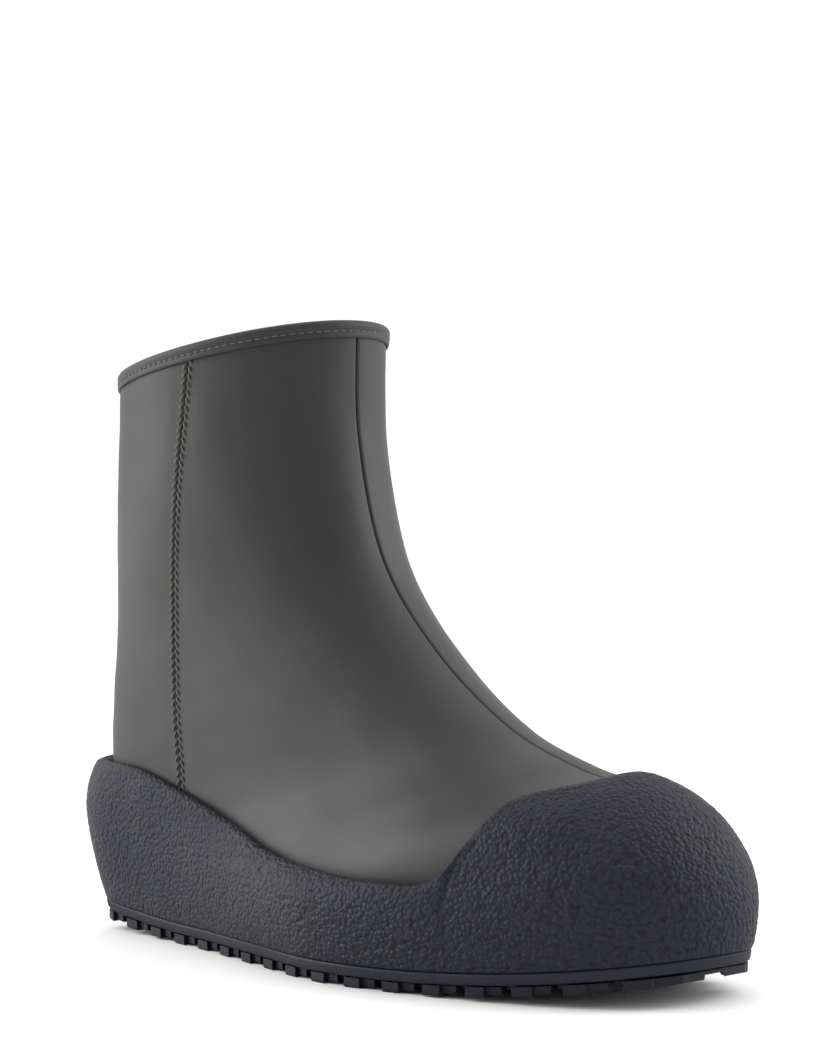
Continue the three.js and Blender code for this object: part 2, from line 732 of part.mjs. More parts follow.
function outsole() {
  const tread = planPrism(insetPlan(soleInset(randProud + lugInset)), -10, 60)
    .intersect(layer(raised(0), raised(outsoleTop)))
    .subtract(treadGrooves());
  const core = planPrism(insetPlan(soleInset(randWidth + gap)), -10, 60)
    .intersect(layer(raised(lugTop + 0.2), raised(randTop)));
  return tread.add(core);
}

const shankMiddle = 108;
function shankPlan(grow) {
  const half = shankLength / 2 + grow;
  const side = shankWidth / 2 + grow;
  const q = shankMiddle * grade.q;
  const corner = 4;
  return [
    [q - half + corner, -side], [q + half - corner, -side], [q + half, -side + corner],
    [q + half, side - corner], [q + half - corner, side], [q - half + corner, side],
    [q - half, side - corner], [q - half, -side + corner],
  ];
}

function bottomFiller() {
  return planPrism(insetPlan(shellWall + lastingMargin + gap), -10, 60)
    .intersect(upperTo(0))
    .intersect(layer(floor, seat(fillerThickness)))
    .subtract(planPrism(shankPlan(gap), -10, 70));
}

function shank() {
  return planPrism(shankPlan(0), -10, 70)
    .intersect(upperTo(0))
    .intersect(layer(floor, seat(fillerThickness)));
}

function insoleBoard() {
  return upperTo(liningFace).intersect(layer(seat(insoleFoot), seat(insoleFoot + insoleThickness)));
}

function footbed() {
  const foot = liningFoot;
  return upperTo(liningInside + gap).intersect(layer(seat(foot), seat(foot + footbedThickness)));
}

// ---- The boot as a scene graph --------------------------------------------------------------------
function finish(color, roughness, metalness = 0) {
  return new THREE.MeshStandardMaterial({ color, roughness, metalness, flatShading: true });
}

const oliveLeather = finish(0x4a4842, 0.6);
const darkLeather = finish(0x3b3a36, 0.65);
const pileLining = finish(0x2c2a28, 0.95);
const navyRubber = finish(0x23252f, 0.85);
const greyRubber = finish(0x33343a, 0.8);
const stiffBoard = finish(0xb59a6e, 0.9);
const cork = finish(0x9a7448, 0.95);
const foam = finish(0x3a3a3c, 0.95);
const steel = finish(0x8d9196, 0.35, 1);
const zipCloth = finish(0x201f1e, 0.9);
const zipMetal = finish(0x34342f, 0.4, 1);

const boot = new THREE.Group();

function addPiece(name, solid, material) {
  const { vertProperties, triVerts, numProp } = solid.getMesh();
  const position = new Float32Array((vertProperties.length / numProp) * 3);
  for (let i = 0; i < position.length / 3; i += 1) {
    position.set(vertProperties.subarray(i * numProp, i * numProp + 3), 3 * i);
  }
  const geometry = new THREE.BufferGeometry();
  geometry.setAttribute('position', new THREE.BufferAttribute(position, 3));
  geometry.setIndex(new THREE.BufferAttribute(Uint32Array.from(triVerts), 1));
  geometry.computeVertexNormals();
  const mesh = new THREE.Mesh(geometry, material);
  mesh.name = name;
  boot.add(mesh);
}

const leatherWall = leather();
const frontLeather = leatherWall.intersect(aheadOfSeam(gap / 2));
addPiece('lateral_panel', frontLeather.intersect(outerSide), oliveLeather);
addPiece('medial_panel', frontLeather.intersect(innerSide), oliveLeather);
addPiece('heel_panel', leatherWall.intersect(behindSeam(-gap / 2)), oliveLeather);
addPiece('collar_binding', collarBinding(), darkLeather);

const liningWall = lining();
addPiece('vamp_lining', liningWall.intersect(aheadOfSeam(gap / 2)), pileLining);
addPiece('heel_lining', liningWall.intersect(behindSeam(-gap / 2)), pileLining);
addPiece('toe_puff', toePuff(), stiffBoard);
addPiece('heel_counter', heelCounter(), stiffBoard);

addPiece('rubber_shell', rubberShell(), navyRubber);
addPiece('rand_strip', randStrip(), greyRubber);
addPiece('outsole', outsole(), navyRubber);
addPiece('midsole', midsole(), foam);
addPiece('bottom_filler', bottomFiller(), cork);
addPiece('shank', shank(), steel);
addPiece('insole_board', insoleBoard(), stiffBoard);
addPiece('footbed', footbed(), foam);

addPiece('zip_tape_front', zipTape(1), zipCloth);
addPiece('zip_tape_rear', zipTape(-1), zipCloth);
addPiece('zip_teeth_front', zipTeeth(1), zipMetal);
addPiece('zip_teeth_rear', zipTeeth(-1), zipMetal);
addPiece('zip_top_stop_front', zipTopStop(1), zipMetal);
addPiece('zip_top_stop_rear', zipTopStop(-1), zipMetal);
addPiece('zip_bottom_stop', zipBottomStop(), zipMetal);
addPiece('zip_gusset', zipGusset(), darkLeather);
addPiece('zip_slider', zipSlider(), zipMetal);
addPiece('zip_puller', zipPuller(), zipMetal);

// The origin is on the floor, under the middle of the boot's outline.
const box = new THREE.Box3().setFromObject(boot);
boot.position.set(-(box.min.x + box.max.x) / 2, -(box.min.y + box.max.y) / 2, -box.min.z);

export default boot;
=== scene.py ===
"""Looks of the ankle boot: coated leather upper, pebbled rubber cup, ribbed rand, lugged tread and zip."""

import math

import bpy
import numpy as np
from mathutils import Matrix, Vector

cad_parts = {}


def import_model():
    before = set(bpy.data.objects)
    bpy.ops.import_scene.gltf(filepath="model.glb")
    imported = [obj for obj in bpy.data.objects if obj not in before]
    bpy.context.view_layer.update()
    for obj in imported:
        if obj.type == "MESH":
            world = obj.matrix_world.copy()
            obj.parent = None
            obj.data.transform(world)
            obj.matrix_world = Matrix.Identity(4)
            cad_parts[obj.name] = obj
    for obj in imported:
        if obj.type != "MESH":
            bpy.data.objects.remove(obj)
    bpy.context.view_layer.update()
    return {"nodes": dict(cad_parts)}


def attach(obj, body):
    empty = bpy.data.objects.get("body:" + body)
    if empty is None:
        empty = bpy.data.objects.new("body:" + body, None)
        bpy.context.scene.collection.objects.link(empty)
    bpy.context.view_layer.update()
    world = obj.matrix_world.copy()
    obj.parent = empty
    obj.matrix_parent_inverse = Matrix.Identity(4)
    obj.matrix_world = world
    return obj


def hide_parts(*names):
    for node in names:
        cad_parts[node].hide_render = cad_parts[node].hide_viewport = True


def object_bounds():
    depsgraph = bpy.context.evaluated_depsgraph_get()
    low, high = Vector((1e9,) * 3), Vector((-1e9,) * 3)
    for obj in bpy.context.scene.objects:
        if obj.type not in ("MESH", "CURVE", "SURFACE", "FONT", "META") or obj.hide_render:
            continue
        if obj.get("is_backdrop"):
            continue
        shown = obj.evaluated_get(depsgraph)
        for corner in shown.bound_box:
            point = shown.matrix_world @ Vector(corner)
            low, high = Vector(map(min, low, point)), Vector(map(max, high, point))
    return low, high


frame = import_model()
nodes = frame["nodes"]

# ---- Sizes of the boot, in millimetres: q runs forward from the heel, x from lateral to medial ----
SIDE_SHIFT = 7.25  # sole's middle line to the frame's origin
HEEL_Y = 152.975
SEAT_BASE = 16.9
TOE_LIFT = 9.2
HEEL_LIFT = 6.0
GAP = 0.3

LEATHER = 1.8
LINING_FACE = 2.1
LINING_INSIDE = 4.3
GUSSET_FACE = 4.6
GUSSET_HALF = 17
GUSSET_THICKNESS = 0.8

OUTSOLE_TOP = 3.6
RAND_FOOT = 3.9
RAND_TOP = 8.1
SHELL_FOOT = 8.4
BULGE_HEIGHT = 21.0
RIM_WALL = 4.4
SHELL_WALL = 6.6
LEAST_WALL = 2.5

ZIP_Q = 77.0
ZIP_LOW = SEAT_BASE + 66.0
ZIP_OPENING = 4.2
ZIP_SLIT = 0.6
TAPE_EDGE = 12.6
TAPE_FACE = 2.1
TAPE_BACK = 2.7
TOOTH_FACE = 42.6
TEETH_FOOT = 88.2
TEETH_TOP = 223.2

# Sections of the upper: front q and height, back q and height, outer and inner half-widths, place of
# the widest line, roundness of the front and back halves.
SECTIONS = np.array([
    [126.5, 246, 12.5, 224, 43.3, 43.3, 0.5, 2.1, 2.1],
    [127.5, 220.5, 11, 199, 43, 43, 0.5, 2.1, 2.1],
    [128.5, 177, 8, 148, 42.5, 42.6, 0.5, 2.1, 2.1],
    [141.5, 131, 8.5, 100.5, 40, 41.5, 0.48, 2.2, 2.4],
    [170, 97, 5.5, 55, 39.8, 41, 0.46, 2.35, 2.6],
    [206, 71.5, 10, 11, 40.5, 38.5, 0.45, 2.5, 2.6],
    [238, 59.5, 70, 3, 49, 41, 0.42, 2.4, 2.6],
    [260, 55, 150, 0, 55, 44, 0.38, 2.3, 3.4],
    [272, 50.5, 215, -1, 50, 43.5, 0.34, 2.3, 4],
    [283, 41, 262, 1, 35, 35, 0.34, 2.2, 4],
    [291.5, 33, 284, 6, 22, 26, 0.4, 2.3, 3],
    [297, 27, 294, 11, 11, 17, 0.5, 2.2, 2.2],
])
COLLAR_ROW = 1.0
TIP_ROW = 9.0
SEAT_LINE = [[-30, 9], [0, 7], [35, 4.4], [70, 3], [150, 0], [215, -1], [262, 1], [340, 7]]
SIDE_SEAM = [[81, 240], [79.5, 205], [69.5, 130], [69, 80], [72, 43], [76, -20]]
SHELL_OUTLINE = np.array([
    [0, -3], [2, -20], [8, -33], [20, -39], [45, -41.5], [85, -46.5], [125, -57], [168, -67.5],
    [210, -64.5], [250, -54.5], [282, -38.5], [301, -17.5], [306, 6], [298, 26], [275, 43], [225, 53],
    [175, 50], [125, 45], [80, 42.5], [45, 40.5], [20, 36.5], [6, 24.5], [0.8, 9],
])
SHELL_EDGE = [
    [-30, 51], [2, 51], [25, 50.5], [49, 49], [79, 41.5], [111, 33.5], [140, 26.5], [180, 23],
    [199, 22], [216, 22], [227, 27], [235, 41], [242, 52], [259, 58.5], [266, 66],
]
TOE_CAP_CROWN = (254.0, 60.5)


# ---- Curves ---------------------------------------------------------------------------------------
def clamp(value, low, high):
    return np.minimum(np.maximum(value, low), high)


def lerp(a, b, f):
    return a + (b - a) * f


def smoothstep(value, low, high):
    f = clamp((np.asarray(value, float) - low) / (high - low), 0, 1)
    return f * f * (3 - 2 * f)


def catmull(a, b, c, d, f):
    square = 2 * a - 5 * b + 4 * c - d
    cube = 3 * b - 3 * c + d - a
    return 0.5 * (2 * b + (c - a) * f + square * f * f + cube * f * f * f)


def along(values, t):
    """Smooth value of a list at a fractional place, with straight ends."""
    values = np.asarray(values, float)
    t = np.asarray(t, float)
    i = clamp(np.floor(t).astype(int), 0, len(values) - 2)
    ends = np.concatenate([2 * values[:1] - values[1:2], values, 2 * values[-1:] - values[-2:-1]])
    f = (t - i).reshape(t.shape + (1,) * (values.ndim - 1))
    return catmull(ends[i], ends[i + 1], ends[i + 2], ends[i + 3], f)


def closed_curve(points, steps):
    """Points along a smooth closed curve through the given ones."""
    n = len(points)
    t = np.arange(n * steps) / steps
    i = t.astype(int)
    f = (t - i)[:, None]
    return catmull(points[i - 1], points[i], points[(i + 1) % n], points[(i + 2) % n], f)


def raised_curve(points, steps=6):
    """Smooth line through points given as q and height above the seat's base."""
    t = np.linspace(0, len(points) - 1, (len(points) - 1) * steps + 1)
    line = along(points, t)
    return line + np.array([0, SEAT_BASE])


def running_length(points):
    """Length along a polyline at each of its points."""
    steps = np.linalg.norm(np.diff(points, axis=0), axis=1)
    return np.concatenate([[0], np.cumsum(steps)])


def resample(points, places):
    """Points at the given lengths along a polyline."""
    length = running_length(points)
    return np.stack([np.interp(places, length, points[:, k]) for k in range(points.shape[1])], -1)


EDGE_LINE = raised_curve(SHELL_EDGE)
SEAM_LINE = raised_curve(SIDE_SEAM)
SEAT_CURVE = raised_curve(SEAT_LINE)


def seat_height(q):
    """Height of the foot's underside."""
    return np.interp(q, SEAT_CURVE[:, 0], SEAT_CURVE[:, 1])


def seam_q(z):
    """How far forward the side seam is at each height."""
    order = np.argsort(SEAM_LINE[:, 1])
    return np.interp(z, SEAM_LINE[order, 1], SEAM_LINE[order, 0])


def sole_lift(q):
    """How far the sole curves up from the floor at the toe and the heel."""
    toe = clamp((q - 190) / 116, 0, 2)
    heel = clamp((80 - q) / 80, 0, 2)
    return TOE_LIFT * toe * toe + HEEL_LIFT * heel * heel


def unit(v):
    return v / np.maximum(np.linalg.norm(v, axis=-1, keepdims=True), 1e-9)


# ---- The upper's skin -----------------------------------------------------------------------------
def section_at(t):
    section = along(SECTIONS, t)
    section[..., 1] += SEAT_BASE
    section[..., 3] += SEAT_BASE
    return section


def upper_skin(t, angle):
    """Outer skin and the way inward, at a section place and an angle from the front round by lateral."""
    t, angle = np.broadcast_arrays(np.asarray(t, float), np.asarray(angle, float))
    here, ahead, behind = section_at(t), section_at(t + 0.05), section_at(t - 0.05)
    tip = smoothstep(t, TIP_ROW, len(SECTIONS) - 1)

    def end(column, turn):
        run = unit(ahead[..., column:column + 2] - behind[..., column:column + 2])
        inward = np.stack([turn * run[..., 1] - tip, -turn * run[..., 0]], -1)
        return here[..., column:column + 2], inward

    front, front_in = end(0, 1)
    back, back_in = end(2, -1)
    turn = np.mod(angle, 2 * np.pi)
    cos, sin = np.cos(turn), np.sin(turn)
    power = 2 / np.where(cos >= 0, here[..., 7], here[..., 8])
    rise = np.abs(cos) ** power
    mid = here[..., 6]
    a = np.where(cos >= 0, mid + (1 - mid) * rise, mid * (1 - rise))[..., None]
    side = np.abs(sin) ** power
    lateral = turn <= np.pi
    x = np.where(lateral, -here[..., 4], here[..., 5]) * side
    x_in = np.where(lateral, side, -side)
    skin = lerp(back, front, a)
    inward = lerp(back_in, front_in, a)
    return (
        np.stack([skin[..., 0], x, skin[..., 1]], -1),
        np.stack([inward[..., 0], x_in, inward[..., 1]], -1),
    )


class Skin:
    """The upper's skin on a fine grid of section places and angles, measured along each ring."""

    def __init__(self, places, samples=1800):
        self.places = np.asarray(places, float)
        self.angles = np.linspace(-np.pi, 2 * np.pi, samples * 3 // 2 + 1)
        self.points, self.inward = upper_skin(self.places[:, None], self.angles[None, :])
        steps = np.linalg.norm(np.diff(self.points, axis=1), axis=2)
        arcs = np.concatenate([np.zeros((len(self.places), 1)), np.cumsum(steps, axis=1)], axis=1)
        self.front = samples // 2
        self.arcs = arcs - arcs[:, self.front:self.front + 1]
        self.girth = self.arcs[:, -1]
        self.back = self.arcs[:, samples]

    def crossing(self, line_q, medial, depth=0.0):
        """Arc at which each ring passes behind a line of q by height, or its back where it never does."""
        points = self.points + self.inward * depth
        past = points[..., 0] - line_q(points[..., 2])
        half = self.front * 2
        arcs = []
        for row in range(len(self.places)):
            if medial:
                span = np.arange(len(self.angles) - 1, half - 1, -1)
            else:
                span = np.arange(self.front, half + 1)
            values = past[row, span]
            behind = np.nonzero(values < 0)[0]
            if len(behind) == 0 or behind[0] == 0:
                arcs.append(self.arcs[row, half])
                continue
            k = behind[0]
            f = values[k - 1] / (values[k - 1] - values[k])
            arcs.append(lerp(self.arcs[row, span[k - 1]], self.arcs[row, span[k]], f))
        return np.array(arcs)

    def first(self, reached, medial):
        """Arc at which each ring, going from the front to its back, first meets a marked place."""
        half = self.front * 2
        span = np.arange(len(self.angles) - 1, half - 1, -1) if medial else np.arange(self.front, half + 1)
        found = reached[:, span]
        k = np.where(found.any(axis=1), found.argmax(axis=1), len(span) - 1)
        return self.arcs[np.arange(len(self.places)), span[k]]

    def at(self, arcs, depth):
        """Points at the given arcs, one row of arcs for each ring, at a depth below the skin."""
        out = np.empty(arcs.shape + (3,))
        for row in range(len(self.places)):
            for axis in range(3):
                p = np.interp(arcs[row], self.arcs[row], self.points[row, :, axis])
                n = np.interp(arcs[row], self.arcs[row], self.inward[row, :, axis])
                out[row, :, axis] = p + n * depth[row]
        return out


# ---- Meshes ---------------------------------------------------------------------------------------
def world(points):
    """Boot millimetres, as q, x and height, to frame metres."""
    points = np.asarray(points, float)
    return np.stack([points[..., 1] + SIDE_SHIFT, HEEL_Y - points[..., 0], points[..., 2]], -1) / 1000


def grid_quads(rows, columns, wrap, start=0):
    """Quads between neighbouring rows of a grid of points."""
    r, c = np.meshgrid(np.arange(rows - 1), np.arange(columns if wrap else columns - 1), indexing="ij")
    after = (c + 1) % columns
    low, high = r * columns, (r + 1) * columns
    quads = np.stack([low + c, low + after, high + after, high + c], -1)
    return quads.reshape(-1, 4) + start


def ring_quads(rows, columns):
    """Quads of a grid that closes on itself both ways."""
    c = np.arange(columns)
    after = (c + 1) % columns
    last = (rows - 1) * columns
    return np.concatenate([grid_quads(rows, columns, True), np.stack([last + c, last + after, after, c], -1)])


def facing_out(points, faces):
    """Faces turned so that the closed mesh has a positive volume."""
    volume = 0.0
    for k in range(2, faces.shape[1]):
        a, b, c = points[faces[:, 0]], points[faces[:, k - 1]], points[faces[:, k]]
        volume += np.einsum("ij,ij->i", a, np.cross(b, c)).sum()
    return faces if volume > 0 else faces[:, ::-1]


def piece(name, points, faces, material, body="boot", slot=None, smooth=True):
    """A mesh object from boot millimetres and faces of one size, riding on a body."""
    placed = world(points).reshape(-1, 3)
    faces = facing_out(placed, np.asarray(faces))
    mesh = bpy.data.meshes.new(name)
    mesh.vertices.add(len(placed))
    mesh.vertices.foreach_set("co", placed.astype(np.float32).ravel())
    mesh.loops.add(faces.size)
    mesh.loops.foreach_set("vertex_index", faces.astype(np.int32).ravel())
    mesh.polygons.add(len(faces))
    mesh.polygons.foreach_set("loop_start", np.arange(len(faces), dtype=np.int32) * faces.shape[1])
    mesh.polygons.foreach_set("use_smooth", np.full(len(faces), smooth))
    mesh.update(calc_edges=True)
    mesh.validate()
    made = bpy.data.objects.new(name, mesh)
    bpy.context.scene.collection.objects.link(made)
    made.data.materials.append(material)
    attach(made, body)
    return made


def slab(outer, inner, wrap=False):
    """Points and faces of a closed sheet between two grids of the same size."""
    rows, columns = outer.shape[:2]
    count = rows * columns
    points = np.concatenate([outer.reshape(-1, 3), inner.reshape(-1, 3)])
    faces = [grid_quads(rows, columns, wrap), grid_quads(rows, columns, wrap, count)[:, ::-1]]
    c = np.arange(columns if wrap else columns - 1)
    after = (c + 1) % columns
    last = (rows - 1) * columns
    faces.append(np.stack([c, c + count, after + count, after], -1))
    faces.append(np.stack([last + after, last + after + count, last + c + count, last + c], -1))
    if not wrap:
        r = np.arange(rows - 1) * columns
        nxt = r + columns
        faces.append(np.stack([nxt, nxt + count, r + count, r], -1))
        end = columns - 1
        faces.append(np.stack([r + end, r + end + count, nxt + end + count, nxt + end], -1))
    return points, np.concatenate(faces)


def tube(rings):
    """Points and faces of closed rings joined in a row, with both ends filled by quads."""
    rows, columns = rings.shape[:2]
    points = rings.reshape(-1, 3)
    faces = [grid_quads(rows, columns, True)]
    half = columns // 2
    k = np.arange(half - 1)
    cap = np.stack([k, k + 1, columns - 2 - k, columns - 1 - k], -1)
    faces.append(cap[:, ::-1])
    faces.append(cap + (rows - 1) * columns)
    return points, np.concatenate(faces)


def joined(parts):
    """Several sets of points and faces as one."""
    points, faces, start = [], [], 0
    for p, f in parts:
        points.append(p.reshape(-1, 3))
        faces.append(f + start)
        start += len(points[-1])
    return np.concatenate(points), np.concatenate(faces)


# ---- Relief ---------------------------------------------------------------------------------------
def soft_waves(points, size, seed):
    """Smooth wandering value from about -1 to 1."""
    rng = np.random.default_rng(seed)
    total = np.zeros(points.shape[:-1])
    for k in range(7):
        way = unit(rng.normal(size=3)) / size * (0.7 + 0.25 * k)
        total += np.sin(points @ way * 2 * np.pi + rng.uniform(0, 6.28)) / (1 + 0.35 * k)
    return total / 2.4


def cell_distance(points, size, seed):
    """Distance to the nearest of scattered seeds, as a share of their spacing."""
    scaled = points / size
    base = np.floor(scaled).astype(np.int64)
    best = np.full(points.shape[:-1], 9.0)
    for dx in (-1, 0, 1):
        for dy in (-1, 0, 1):
            for dz in (-1, 0, 1):
                cell = base + np.array([dx, dy, dz])
                key = cell[..., 0] * 73856093 ^ cell[..., 1] * 19349663
                key = key ^ cell[..., 2] * 83492791 ^ seed * 2654435
                spots = []
                for k in range(3):
                    key = (key * 1103515245 + 12345) & 0x7FFFFFFF
                    spots.append(((key >> 8) & 0xFFFF) / 65535.0)
                gap = cell + np.stack(spots, -1) - scaled
                best = np.minimum(best, np.sqrt((gap * gap).sum(-1)))
    return best


# ---- Shader groups and materials ------------------------------------------------------------------
def shader_group(name, inputs, outputs):
    """An empty node group with named number inputs and outputs, and its ends."""
    tree = bpy.data.node_groups.new(name, "ShaderNodeTree")
    for label, value in inputs:
        socket = tree.interface.new_socket(label, in_out="INPUT", socket_type="NodeSocketFloat")
        socket.default_value = value
    for label in outputs:
        tree.interface.new_socket(label, in_out="OUTPUT", socket_type="NodeSocketFloat")
    return tree, tree.nodes.new("NodeGroupInput"), tree.nodes.new("NodeGroupOutput")


def node(tree, kind, settings=(), links=()):
    """A node with its settings, and links or values for its inputs."""
    made = tree.nodes.new(kind)
    for key, value in settings:
        setattr(made, key, value)
    for key, value in links:
        if isinstance(value, bpy.types.NodeSocket):
            tree.links.new(value, made.inputs[key])
        else:
            made.inputs[key].default_value = value
    return made


def math_node(tree, operation, a, b, clamped=False):
    settings = [("operation", operation), ("use_clamp", clamped)]
    return node(tree, "ShaderNodeMath", settings, [(0, a), (1, b)]).outputs[0]


def ramp(tree, value, low, high, to_low=0.0, to_high=1.0):
    """A value between two bounds carried over to two others."""
    links = [("Value", value), ("From Min", low), ("From Max", high), ("To Min", to_low), ("To Max", to_high)]
    return node(tree, "ShaderNodeMapRange", [("clamp", True)], links).outputs["Result"]


def place_of(tree):
    return node(tree, "ShaderNodeTexCoord").outputs["Object"]


def times(tree, a, b, clamped=False):
    return math_node(tree, "MULTIPLY", a, b, clamped)


def noise(tree, place, scale, detail=2.0, output="Fac"):
    """Cloudy noise at a place."""
    links = [("Vector", place), ("Scale", scale), ("Detail", detail)]
    return node(tree, "ShaderNodeTexNoise", [], links).outputs[output]


def cell_pattern(tree, place, scale, feature):
    """Distance to the nearest of scattered cells."""
    links = [("Vector", place), ("Scale", scale)]
    return node(tree, "ShaderNodeTexVoronoi", [("feature", feature)], links).outputs["Distance"]


def stripes(tree, place, scale, direction, distortion):
    """Soft parallel stripes."""
    links = [("Vector", place), ("Scale", scale), ("Distortion", distortion)]
    return node(tree, "ShaderNodeTexWave", [("bands_direction", direction)], links).outputs["Fac"]


def leather_grain_group():
    """Fine closed grain of coated leather, with slow changes of tone."""
    tree, start, end = shader_group("leather_grain", [("Grain Scale", 900.0)], ["Height", "Tone", "Marks"])
    place = place_of(tree)
    scale = start.outputs["Grain Scale"]
    cells = cell_pattern(tree, place, scale, "SMOOTH_F1")
    fine = noise(tree, place, times(tree, scale, 2.3), 4.0)
    lump = times(tree, cells, 0.6)
    height = math_node(tree, "ADD", lump, times(tree, fine, 0.4))
    slow = noise(tree, place, 14.0, 3.0)
    specks = noise(tree, place, 210.0)
    tree.links.new(height, end.inputs["Height"])
    tree.links.new(ramp(tree, slow, 0.3, 0.7), end.inputs["Tone"])
    tree.links.new(ramp(tree, specks, 0.62, 0.75), end.inputs["Marks"])
    return tree


GRAIN_WANDER = 0.0012  # metres by which the pebbles' pattern is pulled out of line


def pebble_group():
    """Moulded pebbled rubber: round grains, with painted shade in the pits between them."""
    tree, start, end = shader_group("rubber_pebble", [("Grain Scale", 800.0)], ["Height", "Pit Shade", "Tone"])
    place = place_of(tree)
    scale = start.outputs["Grain Scale"]
    bend = noise(tree, place, times(tree, scale, 0.6), output="Color")
    shift = [(0, bend), ("Scale", GRAIN_WANDER)]
    pull = node(tree, "ShaderNodeVectorMath", [("operation", "SCALE")], shift)
    bent = node(tree, "ShaderNodeVectorMath", [], [(0, place), (1, pull.outputs[0])]).outputs[0]
    cells = cell_pattern(tree, bent, scale, "F1")
    fine = noise(tree, place, times(tree, scale, 2.6), 3.0)
    dome = math_node(tree, "SUBTRACT", 1.0, cells)
    height = math_node(tree, "ADD", dome, times(tree, fine, 0.35))
    slow = noise(tree, place, 22.0, 3.0)
    tree.links.new(height, end.inputs["Height"])
    # Painted shade: this mask is high in the pits between the pebbles, where shade falls.
    tree.links.new(ramp(tree, cells, 0.5, 0.85), end.inputs["Pit Shade"])
    tree.links.new(ramp(tree, slow, 0.3, 0.7), end.inputs["Tone"])
    return tree


def edge_wear_group():
    """Where corners and raised edges rub paler."""
    tree, start, end = shader_group("edge_wear", [("Amount", 0.5)], ["Mask"])
    bend = node(tree, "ShaderNodeNewGeometry").outputs["Pointiness"]
    rough = noise(tree, place_of(tree), 260.0, 3.0)
    raised = ramp(tree, bend, 0.52, 0.6)
    broken = times(tree, raised, ramp(tree, rough, 0.35, 0.65, 0.4, 1.0))
    tree.links.new(times(tree, broken, start.outputs["Amount"], True), end.inputs["Mask"])
    return tree


def dust_group():
    """Thin uneven dust."""
    tree, start, end = shader_group("dust", [("Amount", 0.3)], ["Mask"])
    cloud = noise(tree, place_of(tree), 60.0, 6.0)
    mask = ramp(tree, cloud, 0.45, 0.75)
    tree.links.new(times(tree, mask, start.outputs["Amount"], True), end.inputs["Mask"])
    return tree


def weave_group():
    """Plain woven cloth: crossed threads over the surface."""
    tree, start, end = shader_group("cloth_weave", [("Threads", 900.0)], ["Height", "Tone"])
    place = place_of(tree)
    count = start.outputs["Threads"]
    warp, weft = (stripes(tree, place, count, direction, 0.6) for direction in "YZ")
    cross = math_node(tree, "MAXIMUM", warp, weft)
    fuzz = noise(tree, place, 700.0, 4.0)
    tree.links.new(cross, end.inputs["Height"])
    tree.links.new(fuzz, end.inputs["Tone"])
    return tree


def fibre_group():
    """Loose fibres of pile or felt."""
    tree, start, end = shader_group("fibre_pile", [("Tuft Scale", 420.0)], ["Height", "Tone"])
    place = place_of(tree)
    scale = start.outputs["Tuft Scale"]
    tufts = cell_pattern(tree, place, scale, "SMOOTH_F1")
    hair = noise(tree, place, times(tree, scale, 3.0), 6.0)
    height = math_node(tree, "ADD", math_node(tree, "SUBTRACT", 1.0, tufts), hair)
    tree.links.new(height, end.inputs["Height"])
    tree.links.new(hair, end.inputs["Tone"])
    return tree


def twist_group():
    """Twisted plies of sewing thread."""
    tree, start, end = shader_group("thread_twist", [("Plies", 1500.0)], ["Height", "Tone"])
    place = place_of(tree)
    wave = stripes(tree, place, start.outputs["Plies"], "DIAGONAL", 1.0)
    tone = noise(tree, place, 300.0)
    tree.links.new(wave, end.inputs["Height"])
    tree.links.new(tone, end.inputs["Tone"])
    return tree


GROUPS = {
    "leather": leather_grain_group(),
    "pebble": pebble_group(),
    "wear": edge_wear_group(),
    "dust": dust_group(),
    "weave": weave_group(),
    "fibre": fibre_group(),
    "twist": twist_group(),
}


def colour(r, g, b):
    """Linear colour from one written in display values of 0 to 255."""
    shares = [c / 12.92 / 255 if c <= 10 else ((c / 255 + 0.055) / 1.055) ** 2.4 for c in (r, g, b)]
    return tuple(shares) + (1.0,)


class Finish:
    """A material with one Principled shader, to which effects add colour, roughness and relief."""

    def __init__(self, name, base, roughness, **fixed):
        self.material = bpy.data.materials.new(name)
        self.material.use_nodes = True
        self.tree = self.material.node_tree
        self.shader = self.tree.nodes["Principled BSDF"]
        self.shader.inputs["Roughness"].default_value = roughness
        self.colour = base
        self.heights = []
        for key, value in fixed.items():
            self.shader.inputs[key.replace("_", " ").title().replace("Ior", "IOR")].default_value = value

    def effect(self, key, **values):
        made = self.tree.nodes.new("ShaderNodeGroup")
        made.node_tree = GROUPS[key]
        for label, value in values.items():
            made.inputs[label.replace("_", " ").title()].default_value = value
        return made

    def tint(self, mask, other, share=1.0):
        """Blends the colour so far towards another where the mask is high."""
        strength = times(self.tree, mask, share, True)
        mix = self.tree.nodes.new("ShaderNodeMix")
        mix.data_type = "RGBA"
        self.tree.links.new(strength, mix.inputs[0])
        for place, value in ((6, self.colour), (7, other)):
            if isinstance(value, bpy.types.NodeSocket):
                self.tree.links.new(value, mix.inputs[place])
            else:
                mix.inputs[place].default_value = value
        self.colour = mix.outputs[2]

    def rough(self, mask, low, high):
        self.tree.links.new(ramp(self.tree, mask, 0.0, 1.0, low, high), self.shader.inputs["Roughness"])

    def relief(self, height, distance, strength=1.0):
        """A bump of a height in metres, on top of those so far."""
        links = [("Height", height), ("Distance", distance), ("Strength", strength)]
        bump = node(self.tree, "ShaderNodeBump", [], links)
        if self.heights:
            self.tree.links.new(self.heights[-1], bump.inputs["Normal"])
        self.heights.append(bump.outputs["Normal"])

    def done(self):
        if isinstance(self.colour, bpy.types.NodeSocket):
            self.tree.links.new(self.colour, self.shader.inputs["Base Color"])
        else:
            self.shader.inputs["Base Color"].default_value = self.colour
        if self.heights:
            self.tree.links.new(self.heights[-1], self.shader.inputs["Normal"])
        return self.material


